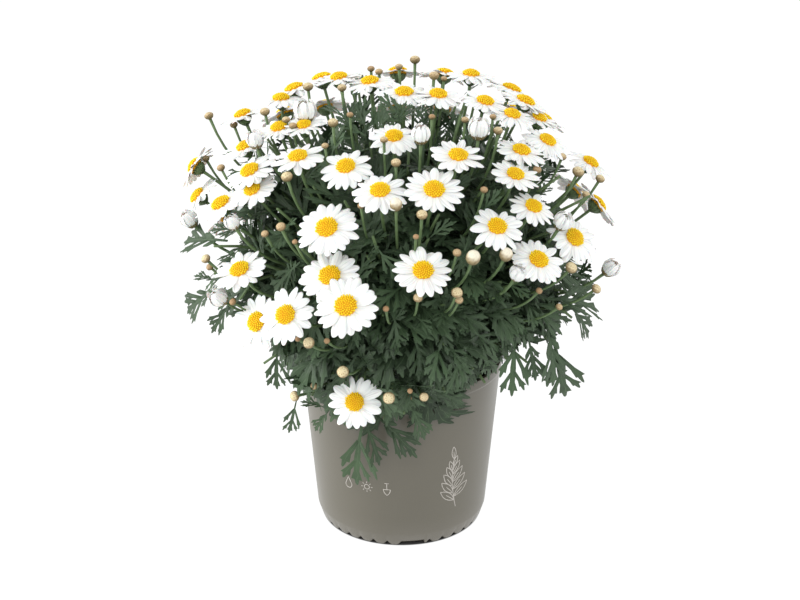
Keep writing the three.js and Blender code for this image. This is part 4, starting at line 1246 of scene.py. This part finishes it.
def bud_globes(head, pick, random):
    """Globes on the stalks' ends, pressed flat and drawn in below: radius x (0.93 + 0.07 scale).

    Round the bud a scale is one wave; up the bud it swells and then ends at once, four times, and every
    second column of scales starts half a scale higher. A ripe bud is wide, taller, and white on top: tone 1.
    """
    level = np.linspace(*BUD_LEVELS, BUD_ROWS)[:, None]
    turn, count = around(BUD_SIDES), len(pick)
    radius, spin = head["radius"][pick][:, None, None], each(random, count, 0, 6)
    ripe = radius > RIPE_BUD
    column = (turn + 0.5 * level) * SCALES / FULL_TURN
    tile = (np.linspace(0, SCALE_ROWS, BUD_ROWS)[:, None] + 0.5 * (np.floor(column) % 2)) % 1
    seam = np.abs((column % 1) * 2 - 1)
    edge = np.clip(np.maximum((tile - 0.5) / 0.5, (seam - 0.5) * 1.7), 0, 1)
    size = radius * (0.93 + 0.07 * tile * np.cos(level)) * each(random, count, 0.88, 1.04)
    wide = size * np.cos(level) * (1 - 0.3 * np.minimum(np.sin(level), 0) ** 2)
    tall = size * ((FLAT + RIPE_TALL * ripe) * np.sin(level) + BUD_RAISED)
    rings = about_axis(wide, tall, turn + spin)
    tone = np.maximum(np.clip(radius / SMALL_AND_BROWN, 0.1, 1) * each(random, count, 0.6, 0.9), ripe)
    rings = grown(rings, turn / 7, np.linspace(0, 1, BUD_ROWS)[:, None], tone, edge)
    return capped(local_rings(head, pick, rings))


# %% Half-open buds
TUFT, TUFT_RUN = 15, np.array([0.0, 0.25, 0.5, 0.75, 0.92])[:, None]
OPEN_CUP = np.array([(0.15, -1.12), (0.5, -1.02), (0.74, -0.7), (0.78, -0.35), (0.66, -0.2)])
YOUNG_DISC = np.array([(0.5, -0.5), (0.56, -0.05), (0.46, 0.12), (0.2, 0.24)])


def tuft_rays(head, pick):
    """Upright rays of a half-open bud: they leave the cup, bulge outwards and lean in again at the top.

    Distance from the axis over the run is 0.52 + 0.45 sin(0.8 pi run) - lean run^4, in radii of the bud, and
    every second ray leans in further, so that those close over the top.
    """
    shapes, run, across = [], TUFT_RUN, PETAL_ACROSS
    number = np.arange(TUFT)[:, None, None]
    inner = number % 2
    bulge = 0.52 + 0.45 * np.sin(run * math.pi * 0.8) - (0.15 + 0.5 * inner) * run ** 4
    bulge = bulge * (1 - 0.07 * inner) + 0.05 * np.cos(across * FULL_TURN) * np.sin(run * math.pi)
    thick = 0.0002 * ((1 - np.abs(across)) * (1 - PETAL_UNDER) - PETAL_UNDER)
    for index in pick:
        random, radius = stream("tuft", index), head["radius"][index]
        angle = (number + each(random, TUFT, -0.2, 0.2)) * FULL_TURN / TUFT
        height = radius * (run * 1.85 * each(random, TUFT, 0.88, 1.06) - 0.95)
        half = radius * 0.30 * petal_half_width(run * 0.9)
        rings = about_axis(radius * bulge + thick, height, angle, -half * across)
        rings = grown(rings, across, run, each(random, TUFT), PETAL_UNDER)
        shapes.append(pointed(local_rings(head, np.full(TUFT, index), rings), 0.5))
    return joined(shapes)


def half_open_cups(head, pick):
    """The scaly cup of a half-open bud, up to nearly half of its height."""
    radius, (share, height) = head["radius"][pick][:, None, None], OPEN_CUP.T[..., None]
    turn = around(BUD_SIDES)
    rings = about_axis(radius * share * (1 + 0.05 * np.cos(9 * turn)), radius * height, turn)
    along = np.linspace(0, 0.62, len(OPEN_CUP))[:, None]
    rings = grown(rings, turn / 7, along, 0.8, 0.5 - 0.5 * np.cos(9 * turn))
    return capped(local_rings(head, pick, rings))


def opening_discs(head, pick, sides=14):
    """The small yellow dome that already shows between the rays of a half-open bud."""
    radius, (share, height) = head["radius"][pick][:, None, None], YOUNG_DISC.T[..., None]
    rings = about_axis(radius * share, radius * height, around(sides))
    rings = grown(rings, around(sides) / 7, 0.5, 0.2, 0)
    return capped(local_rings(head, pick, rings))


# %% Stems, stalks and buds as pieces
for stem in range(STEMS):
    number, node = stem + 1, [f"leafy_stem_{stem + 1}"]
    own = {name: np.flatnonzero(head["stem"] == stem) for name, head, *_ in KINDS}
    stalks = [stalk_tubes(head, own[name], thin) for name, head, _, _, thin in KINDS if len(own[name])]
    stalks += [cups(blooms, own["bloom"]), bracts(blooms, own["bloom"])]
    add_piece(f"stalks_{number}", joined([main_stem(stem), *stalks]), STALK, node)
    globes = [
        bud_globes(head, own[name], stream("globe", stem)) for name, head, *_ in KINDS[2:] if len(own[name])]
    half = own["half open"]
    if len(half):
        globes.append(half_open_cups(half_open, half))
        add_piece(f"opening_buds_{number}", tuft_rays(half_open, half), RAY, node)
        add_piece(f"opening_discs_{number}", opening_discs(half_open, half), FLORET, node)
    if globes:
        add_piece(f"buds_{number}", joined(globes), BUD, node)
print("triangles in stalks:", triangles_in("stalks"), "and in buds:", triangles_in("buds", "opening"))


# %% [markdown]
# ## One cut leaf
# A marguerite leaf is cut deeply into narrow lobes that point forward, two or three a side, and the larger
# lobes end in teeth. Thousands of leaves need a cheap shape, so each lobe is one strip with a three-cornered
# section: left edge, raised middle, right edge. An edge point that slips forward and outwards is a tooth.
# A few leaf patterns are worked out flat, in shares of the leaf's length, and every leaf on the plant is
# one of them, bent and turned.

# %% Leaf patterns
LEAF_THICK, LEAF_FOLD, LOBE_SINK, MIDDLE = 0.007, 0.2, 0.004, 1
LOBE_HALF, MIDRIB_HALF, LOBE_OFF, LOBE_CURL, TOOTHED_FROM = 0.0355, 0.037, 0.010, 0.5, 0.24
TOOTHED = [
    (0.0, 0.75, 0.75, 0), (0.48, 0.9, 0.9, 0), (0.62, 1.9, 1.6, 0.14), (0.74, 0.92, 0.92, 0),
    (0.94, 0.45, 0.45, 0),
]
PLAIN = [(0.0, 0.8, 0.8, 0), (0.6, 1.05, 1.05, 0), (0.92, 0.45, 0.45, 0)]
LOBES = {3: ((0.24, 0.24), (0.38, 0.48), (0.58, 0.35)), 2: ((0.32, 0.48), (0.56, 0.36))}


def strip(start, angle, length, half, rows, curl):
    """One lobe as a closed tube: rows give the run, the two half widths and a forward slip.

    The middle line leaves start at an angle and curls forward; its points are summed from the steps of the
    run. Left and right edges stand off it by their share of half, slipped forward so that they form teeth,
    and the top of the skin stands over it. The whole leaf is folded upwards along its midrib.
    """
    run, left_half, right_half, slip = np.asarray(rows, float).T[..., None]
    way = (angle - curl * run)[:, 0]
    ahead, left = about_axis(1, 0, way)[:, :2], about_axis(0, 0, way, 1)[:, :2]
    line = np.array(start) + length * np.cumsum(np.diff(run, axis=0, prepend=0) * ahead, 0)
    edge = line + ahead * length * slip
    flat = np.stack([edge + left * half * left_half, line, edge - left * half * right_half], 1)
    sunk = np.array([0, LEAF_THICK, 0]) - (LOBE_SINK if start[1] else 0)
    place = np.concatenate([flat, (sunk + LEAF_FOLD * np.abs(flat[..., 1]))[..., None]], -1)
    rings = grown(place, np.array([1, 0, -1]), np.clip(flat[..., 0], 0, 1), 0, 0)[None]
    top = rings[:, -1, MIDDLE]
    tip = top.copy()
    tip[:, :2] += ahead[-1] * length * (1 - run[-1])
    tip[:, 2] += LEAF_FOLD * (np.abs(tip[:, 1]) - np.abs(top[:, 1])) - LEAF_THICK
    tip[:, 3] = 1
    return closed_tubes(rings, rings[:, 0].mean(1), tip)


def leaf_pattern(random, pairs):
    """A midrib strip with its narrow wing that ends in a toothed lobe, and lobes in near pairs beside it."""
    left, right = random.uniform(0.9, 1.12, 4)[:2]
    midrib = [
        (0.0, 0.4, 0.4, 0), (0.25, 0.55, 0.55, 0), (0.52, 1.1, 1.1, 0), (0.74, 1.0, 1.0, 0),
        (0.82, 2.0 * left, 1.8 * right, 0.06), (0.88, 0.92, 0.92, 0), (0.975, 0.45, 0.45, 0),
    ]
    shapes = [strip((0, 0), 0, 1.0, MIDRIB_HALF, midrib, 0)]
    for side in (1, -1):
        for x, long in LOBES[pairs]:
            start = x + random.uniform(-0.035, 0.035), side * LOBE_OFF
            long *= random.uniform(0.85, 1.12)
            angle, half = side * math.radians(random.uniform(38, 50)), LOBE_HALF * random.uniform(0.88, 1.15)
            rows = TOOTHED if long > TOOTHED_FROM else PLAIN
            shapes.append(strip(start, angle, long, half, rows, side * LOBE_CURL))
    return joined(shapes)


leaf_random = stream("pattern")
LEAF_PATTERNS = [leaf_pattern(leaf_random, pairs) for pairs in (3, 2, 3, 2, 2, 2)]
LARGE_PATTERNS, LARGE_LEAF = 4, 0.030
print("faces of a leaf:", [len(quads) + len(fans) for _, quads, fans in LEAF_PATTERNS])


# %% Room in front of flowers
BLOOM_ROOM, BUD_ROOM, UNDER_FACE, SIGHT_ROOM, ROOM_SPARE = 0.045, 0.03, 0.004, 1.6, 1.02


def in_flower_room(points, head, reach):
    """True where any of a leaf's or shoot's points would hide a flower.

    That is within the head's radius of its axis and above or just under its face, or within that radius of
    the line from the head to the viewer.
    """
    hit = np.zeros(len(points), bool)
    to_viewer = unit(VIEW - head["place"])
    for place, face, radius, sight in zip(head["place"], head["face"], head["radius"], to_viewer):
        gap = points - place
        for axis, low, high in ((face, -UNDER_FACE, reach), (sight, 0.0, reach * SIGHT_ROOM)):
            height = gap @ axis
            off = np.linalg.norm(gap - height[..., None] * axis, axis=-1)
            hit |= ((height > low) & (height < high) & (off < radius * ROOM_SPARE)).any(1)
    return hit


# %% [markdown]
# ## Shoots
# Some leaves are seen one by one, above all those that hang over the pot, and they are laid down by sight
# from root to tip. The mass of the others ends at a skirt line, given as pixels where it shows in front.
# The leaves sit in spirals on leafy shoots, which fill the bush evenly from its skirt to its top, and a few
# smaller ones sit low on the flower stalks. The shoots' tips are spread over three smaller domes by the same
# golden angle as the florets, which leaves no rows. A leaf leaves its shoot at a wide angle, larger for the
# lower ones, and bends down under its own weight.

# %% Leafy shoots
SHOOT_LAYERS = [(120, 0.80, -0.72), (80, 0.60, -0.60), (56, 0.90, 0.20)]
SHOOT_LEAVES, LEAF_LENGTH, SHOOT_PULL, TIP_ROOM = 8, 0.052, (0.25, 0.4), 0.002
RIM_SPRAYS, RIM_REACH, RIM_SPRAY_Z, RIM_HANG = 26, (0.076, 0.100), (0.126, 0.148), math.radians(-35)
# A spray: its tip's pixel, how far it is from the pot's axis (mm), and how far it looks up (degrees).
SEEN_SPRAYS = np.array([
    (362, 424, 82, -55), (350, 416, 84, -60), (384, 420, 84, -50), (404, 414, 86, -40), (430, 402, 88, -40),
    (452, 384, 90, -35), (473, 369, 92, -38), (336, 404, 86, -50), (312, 396, 90, -60),
    (292, 378, 100, -60), (284, 360, 106, -60), (300, 352, 104, -40), (420, 378, 96, -25),
    (392, 388, 94, -35), (362, 384, 94, -40), (332, 376, 96, -45), (520, 344, 106, -60),
    (534, 340, 110, -65), (548, 342, 114, -70), (560, 334, 120, -60), (572, 318, 125, -45),
    (584, 300, 130, -30), (508, 362, 100, -60), (498, 348, 98, -45), (240, 300, 128, -60),
    (226, 290, 134, -50), (214, 274, 138, -25), (214, 246, 140, 5), (264, 342, 114, -65),
    (252, 326, 120, -55), (590, 196, 138, 25), (560, 176, 120, 40), (470, 350, 100, -25),
    (445, 345, 106, -10),
])
# A leaf: the pixels of its root and of its tip, and how far each of them is from the pot's axis (mm).
SEEN_LEAVES = np.array([
    (363, 421, 352, 483, 84, 78), (364, 420, 382, 464, 86, 80), (373, 412, 416, 459, 84, 80),
    (408, 402, 428, 438, 86, 82), (430, 388, 462, 407, 88, 88), (414, 338, 431, 386, 100, 94),
    (440, 310, 482, 330, 110, 108), (516, 332, 509, 396, 108, 106), (528, 336, 537, 380, 110, 110),
    (546, 324, 549, 388, 118, 116), (552, 334, 566, 396, 120, 122), (568, 304, 590, 334, 121, 133),
    (542, 299, 598, 309, 120, 140), (228, 241, 184, 243, 128, 146), (217, 281, 194, 275, 134, 146),
    (218, 287, 187, 312, 132, 144), (232, 300, 213, 334, 128, 138), (278, 345, 274, 389, 108, 108),
    (297, 398, 292, 434, 96, 98), (330, 409, 316, 432, 90, 90), (326, 408, 301, 400, 92, 96),
    (376, 136, 387, 108, 60, 52), (356, 132, 338, 112, 62, 58), (408, 120, 376, 97, 45, 45),
    (410, 120, 384, 122, 45, 52), (412, 122, 430, 104, 45, 45), (345, 128, 352, 100, 60, 50),
    (368, 134, 352, 104, 58, 54), (366, 136, 335, 118, 60, 60), (372, 132, 380, 102, 52, 50),
    (360, 128, 368, 96, 50, 46), (354, 138, 328, 142, 64, 64), (398, 128, 404, 100, 50, 48),
    (470, 330, 500, 352, 108, 106), (395, 350, 372, 388, 100, 92), (450, 348, 468, 382, 100, 92),
    (330, 350, 305, 382, 104, 102), (356, 356, 338, 392, 100, 94), (480, 340, 489, 372, 100, 94),
    (392, 310, 402, 350, 110, 104), (300, 262, 272, 290, 124, 126), (375, 245, 398, 280, 120, 116),
    (468, 240, 455, 280, 120, 118), (452, 350, 482, 376, 92, 86), (466, 340, 496, 368, 92, 86),
    (438, 360, 466, 388, 88, 84), (474, 338, 499, 370, 94, 88), (428, 366, 448, 398, 86, 84),
    (446, 364, 475, 382, 84, 82), (490, 318, 514, 352, 108, 106), (504, 310, 530, 346, 112, 110),
    (536, 304, 552, 340, 116, 116), (390, 372, 398, 418, 88, 84), (412, 364, 404, 410, 90, 86),
    (340, 372, 322, 410, 96, 92),
])
# The pixels that the mass of leaves doesn't hang below.
SKIRT_LINE = np.array([
    (150, 200), (185, 256), (200, 292), (213, 318), (228, 318), (248, 320), (262, 346),
    (283, 384), (300, 392), (318, 420), (345, 432), (372, 436), (400, 423), (430, 411),
    (450, 400), (470, 384), (497, 367), (503, 360), (527, 350), (550, 346), (575, 336),
    (592, 312), (606, 284), (622, 250), (650, 200),
])


def on_curtain(px, py, reach):
    """Points where lines of sight meet an upright cylinder of radius reach, in millimetres, or pass it by.

    Only the level part of the line counts: |start + t line| = reach is a quadratic in t, as for the dome.
    """
    line = sight_lines(px, py)
    t = first_meeting((line[:, :2] ** 2).sum(1), line[:, 1] * VIEW[1], VIEW[1] ** 2 - (reach * MM) ** 2)
    return VIEW + line * t[:, None]


def shoot_heads():
    """Tips of all shoots: three layers of the dome, sprays round the rim, and those that the viewer sees.

    A layer takes even steps in height and golden-angle steps in turn. A spray hangs: its tip looks down.
    """
    random, places, ups = stream("shoot"), [], []
    for count, shell, lowest in SHOOT_LAYERS:
        number = np.arange(count)
        height = lowest + (0.99 - lowest) * (number + 0.5) / count
        turn, level = number * GOLDEN_ANGLE + shell, np.sqrt(1 - height ** 2)
        ball = about_axis(level, height, turn) * (shell * random.uniform(0.9, 1.06, count))[:, None]
        places.append(UP * DOME_Z + ball * DOME)
        ups.append(np.clip(np.arcsin(height) * 0.8 + math.radians(20), math.radians(-25), math.radians(86)))
    turn = (np.arange(RIM_SPRAYS) + random.uniform(-0.3, 0.3, RIM_SPRAYS)) * FULL_TURN / RIM_SPRAYS
    reach, height = random.uniform(*RIM_REACH, RIM_SPRAYS), random.uniform(*RIM_SPRAY_Z, RIM_SPRAYS)
    places.append(about_axis(reach, height, turn))
    ups.append(np.full(RIM_SPRAYS, RIM_HANG))
    places.append(on_curtain(*SEEN_SPRAYS.T[:3]))
    ups.append(np.radians(SEEN_SPRAYS[:, 3]))
    place, up = np.concatenate(places), np.concatenate(ups)
    head = heads(place, np.full(len(place), TIP_ROOM), up + random.uniform(-0.15, 0.15, len(place)))
    head["stem"] = stem_of(head["turn"])
    start = stem_point(head["stem"], random.uniform(0.45, 1.0, len(place)))
    length = np.linalg.norm(place - start, axis=1)[:, None]
    leave, arrive = UP * length * SHOOT_PULL[0], head["face"] * length * SHOOT_PULL[1]
    head["path"] = pulled(start, leave, arrive, place)
    return head


shoots = shoot_heads()
crossing = in_flower_room(bezier(shoots["path"], np.linspace(0, 1, 24)), blooms, BLOOM_ROOM)
shoots = {name: value[~crossing] for name, value in shoots.items()}
print(len(shoots["turn"]), "shoots,", int(crossing.sum()), "left out in front of flowers")


# %% Leaves on shoots and stalks
LENGTH, BEND, ASIDE, TONE, STEM, PATTERN = range(9, 15)
AHEAD, SCATTER, FACE_UP = 0.02, 0.08, 0.7
# Where leaves sit on each kind of path, the first and last angle to it, and their shares of a full length.
LEAF_GROUPS = (
    (shoots, np.linspace(0.42, 1.0, SHOOT_LEAVES), (72, 30), (1.0, 1.06, 1.1, 1.08, 1.0, 0.86, 0.7, 0.5)),
    (blooms, (0.02, 0.14, 0.30), (62, 45), (0.8, 0.68, 0.5)),
    (buds, (0.05, 0.22, 0.45), (62, 45), (0.76, 0.6, 0.42)),
    (half_open, (0.05, 0.22, 0.45), (62, 45), (0.76, 0.6, 0.42)),
    (small_buds, (0.1, 0.35, 0.6), (62, 45), (0.66, 0.5, 0.36)),
)


def leaf_frames(path, t, angle, first):
    """Where leaves leave a batch of paths: the root, the way out square to the path, and the path's way.

    path is (batch, 4, 3); t and angle are (batch, leaves). first is a direction across each path.
    """
    both = np.stack([t, t + AHEAD], -1)
    root, beyond = np.moveaxis(np.einsum("blpw,bwx->blpx", bernstein(both), path), 2, 0)
    ahead = unit(beyond - root + 1e-9)
    across = square_to(ahead, first[:, None])
    out = across * np.cos(angle)[..., None] + np.cross(ahead, across) * np.sin(angle)[..., None]
    return root, out, ahead


def leaf_rows():
    """Every leaf as arrays: root, way, upper side, length, bend, sideways bend, tone, stem and pattern."""
    random, rows = stream("leaf"), []
    for head, t, lean, share in LEAF_GROUPS:
        many, leaves_each = size = len(head["turn"]), len(t)
        t = np.clip(t + random.uniform(-0.03, 0.03, size), 0, 1)
        angle = np.arange(leaves_each) * GOLDEN_ANGLE + random.uniform(0, 6.3, (many, 1))
        angle = angle + random.uniform(-0.3, 0.3, size)
        root, out, ahead = leaf_frames(head["path"], t, angle, head["side"])
        lean = np.radians(np.linspace(*lean, leaves_each) + random.uniform(-10, 10, size))[..., None]
        way = unit(ahead * np.cos(lean) + out * np.sin(lean) + random.normal(0, SCATTER, out.shape))
        upper = square_to(way, unit(square_to(way, ahead) + FACE_UP * UP))
        length = random.uniform(0.85, 1.1, size) * share * LEAF_LENGTH
        bend = random.uniform(0.5, 1.2, size) * np.linspace(1.1, 0.6, leaves_each)
        tone = np.clip(np.linspace(0.25, 0.75, leaves_each) + random.uniform(-0.2, 0.2, size), 0, 1)
        aside, stem = random.uniform(-0.16, 0.16, size), np.broadcast_to(head["stem"][:, None], size)
        columns = root, way, upper, length, bend, aside, tone, stem
        rows.append(np.concatenate([value.reshape(many * leaves_each, -1) for value in columns], 1))
    rows = np.concatenate(rows)
    small = LARGE_PATTERNS + random.integers(0, len(LEAF_PATTERNS) - LARGE_PATTERNS, len(rows))
    pattern = np.where(rows[:, LENGTH] > LARGE_LEAF, random.integers(0, LARGE_PATTERNS, len(rows)), small)
    return np.concatenate([rows, pattern[:, None]], 1)


def leaf_points(rows, pattern):
    """A pattern bent and placed for each row: (rows, points, 7).

    Along the leaf the middle line turns down evenly by its bend, so it is an arc: out = sin(bend x) / bend
    and down = (1 - cos(bend x)) / bend. A point's height stands square to the arc, and y goes across.
    """
    root, way, upper = rows[:, None, 0:3], rows[:, None, 3:6], rows[:, None, 6:9]
    length, bend, aside, tone = (rows[:, None, column] for column in (LENGTH, BEND, ASIDE, TONE))
    x, y, height = pattern[:, :3].T
    out = np.sin(bend * x) / bend + height * np.sin(bend * x)
    rise = (np.cos(bend * x) - 1) / bend + height * np.cos(bend * x)
    slide = y + aside * x ** 2
    ways = (way, out), (upper, rise), (np.cross(upper, way), slide)
    place = root + sum(direction * part[..., None] for direction, part in ways) * length[..., None]
    return grown(place, pattern[:, 3], pattern[:, 4], tone, pattern[:, 6])


# %% [markdown]
# ## Room for the flowers
# Leaves keep clear of the blooms, and those of the skirt hang outside the pot rather than in its wall. So
# leaves with a spot in the room above a flower's face are left out, and points that would be in the pot are
# moved out of it.

# %% Clearing leaves from blooms and pot
OFF_WALL, LOWEST_ROOT, WIDEST_LEAF, BACK_FROM = 0.0035, POT_HEIGHT + 0.004, 0.150, 0.06


def off_the_pot(place):
    """Points below the rim, in the pot or too near its wall, are moved out to a few millimetres off it."""
    reach, height = np.hypot(place[..., 0], place[..., 1]), place[..., 2]
    wall = wall_radius(height) + OFF_WALL
    scale = np.where((reach < wall) & (height < POT_HEIGHT), wall / np.maximum(reach, MM), 1.0)
    return np.concatenate([place[..., :2] * scale[..., None], place[..., 2:]], -1)


def seen_leaf_rows():
    """Rows like those of leaf_rows for the leaves that are seen one by one, laid from root to tip by sight.

    The bend turns the way down evenly, so the chord from root to tip points half a bend below the way at
    the root; the way is raised by that half. The upper side looks at the viewer and a little up.
    """
    random, one_each = stream("seen leaf"), (len(SEEN_LEAVES), 1)
    root, tip = (on_curtain(*SEEN_LEAVES[:, columns].T) for columns in ([0, 1, 4], [2, 3, 5]))
    chord, length = unit(tip - root), np.linalg.norm(tip - root, axis=1)[:, None]
    upper = square_to(chord, unit(VIEW - root) + UP * 0.45 + random.normal(0, 0.12, root.shape))
    bend = random.uniform(0.25, 0.7, one_each)
    way = chord * np.cos(bend / 2) + upper * np.sin(bend / 2)
    upper = upper * np.cos(bend / 2) - chord * np.sin(bend / 2)
    stem = stem_of(np.arctan2(root[:, 1], root[:, 0]))[:, None]
    tone, aside = random.uniform(0.45, 0.85, one_each), random.uniform(-0.12, 0.12, one_each)
    pattern = random.integers(0, LARGE_PATTERNS, one_each)
    return np.concatenate([root, way, upper, length * 1.02, bend, aside, tone, stem, pattern], 1)


leaves = leaf_rows()
probe = np.array([(x, y, 0, 0, 0, 0, 0) for x, y in ((0.35, 0), (0.6, 0), (0.8, 0.2), (0.8, -0.2), (1, 0))])
spots = leaf_points(leaves, probe)[..., :3]
px, py = pixels_of(spots)
hanging = ((py > np.interp(px, *SKIRT_LINE.T)) & (spots[..., 1] < BACK_FROM)).any(1)
blocked = in_flower_room(spots, blooms, BLOOM_ROOM) | in_flower_room(spots, half_open, BUD_ROOM)
too_wide = np.hypot(spots[..., 0], spots[..., 1]).max(1) > WIDEST_LEAF
left_out = blocked | hanging | too_wide | (leaves[:, 2] < LOWEST_ROOT)
leaves = np.concatenate([leaves[~left_out], seen_leaf_rows()])
print(len(leaves), "leaves,", blocked.sum(), "left out for the flowers,", hanging.sum(), "below the skirt")


# %% Leaves and shoots as pieces
def leaves_of(stem):
    """All leaves of a stem: each pattern's points for its rows, with the pattern's faces repeated."""
    shapes = []
    for number, (points, quads, fans) in enumerate(LEAF_PATTERNS):
        rows = leaves[(leaves[:, STEM] == stem) & (leaves[:, PATTERN] == number)]
        placed = leaf_points(rows, points)
        placed[..., :3] = off_the_pot(placed[..., :3])
        step = (np.arange(len(rows)) * len(points))[:, None, None]
        shapes.append((placed.reshape(-1, 7), (quads + step).reshape(-1, 4), (fans + step).reshape(-1, 3)))
    return joined(shapes)


def shoot_tubes(pick, steps=9):
    """The shoots themselves: thin tubes, thicker and woodier at the foot."""
    path = bezier(shoots["path"][pick], np.linspace(0, 1, steps))
    radius, tone = np.linspace(0.0019, 0.0009, steps), np.linspace(0.4, 1, steps)
    return tubes_along(path, radius, shoots["side"][pick], tone, 5)


for stem in range(STEMS):
    number, node = stem + 1, [f"leafy_stem_{stem + 1}"]
    twigs = shoot_tubes(np.flatnonzero(shoots["stem"] == stem))
    add_piece(f"shoots_{number}", twigs, STALK, node)
    add_piece(f"leaves_{number}", leaves_of(stem), LEAF, node)
print("triangles in leaves:", triangles_in("leaves"), "and in all pieces:", sum(MADE.values()))

# %% [markdown]
# ## Floor and light
# The plant stands on a plain white floor that runs out of sight and glows evenly, except for a dark disc
# under the pot that paints its shadow.
# Large soft lamps stand at the left, at the right, in front and behind, and a white world fills the shadows.

# %% Floor, lamps and world
FLOOR_REACH, FLOOR_SIDES, FLOOR_DROP, FLOOR_GLOW, AIM = 6, 64, 0.0001, 0.96, UP * 0.18
LAMPS = {
    "left_lamp": ((-1.4, -0.1, 0.6), 1.0, 21), "right_lamp": ((1.35, -0.25, 0.8), 1.0, 7),
    "front_lamp": ((-0.25, -1.4, 1.1), 1.1, 11), "back_lamp": ((0.2, 1.2, 1.2), 0.9, 6),
}


def make_floor():
    """A white floor as one large disc of sixty-four sides, which glows a little, except for a dark disc under
    the pot that paints its shadow.
    """
    corners = about_axis(FLOOR_REACH, -FLOOR_DROP, around(FLOOR_SIDES))
    mesh = bpy.data.meshes.new("floor")
    mesh.from_pydata(corners.tolist(), [], [list(range(FLOOR_SIDES))])
    material, tree, shader = new_material(
        "floor_white", Base_Color=(0.1, 0.1, 0.1), Roughness=0.9, Specular_IOR_Level=0.0,
        Emission_Color=(1, 1, 1))
    place, reach = tree.nodes.new("ShaderNodeTexCoord"), tree.nodes.new("ShaderNodeVectorMath")
    reach.operation = "LENGTH"
    tree.links.new(place.outputs["Object"], reach.inputs[0])
    # Painted shadow: no glow inside the pot's foot, so the floor under the pot stays dark.
    glow_with_painted_shadow = ramp(tree, reach.outputs["Value"], FOOT_RADIUS - 0.002, FOOT_RADIUS - 0.0005, (0.0, FLOOR_GLOW))
    tree.links.new(glow_with_painted_shadow, shader.inputs["Emission Strength"])
    mesh.materials.append(material)
    add_object("floor", mesh)


def add_lamp(name, place, size, watts):
    """A square area lamp that looks at the middle of the bush."""
    lamp = bpy.data.lights.new(name, "AREA")
    lamp.size, lamp.energy = size, watts
    holder = add_object(name, lamp)
    x, y, z = AIM - place
    yaw, fall = math.atan2(y, x), math.atan2(math.hypot(x, y), -z)
    holder.location, holder.rotation_euler = place, Euler((fall, 0, yaw - math.pi / 2))


make_floor()
for name, (place, size, watts) in LAMPS.items():
    add_lamp(name, place, size, watts)
world = bpy.data.worlds.new("white_studio")
world.use_nodes = True
for title, value in (("Color", (1, 1, 1)), ("Strength", 0.63)):
    feed(world.node_tree, world.node_tree.nodes["Background"].inputs[title], value)
bpy.context.scene.world = world
bpy.context.scene.view_settings.view_transform = "Standard"
print("lamps:", *LAMPS)
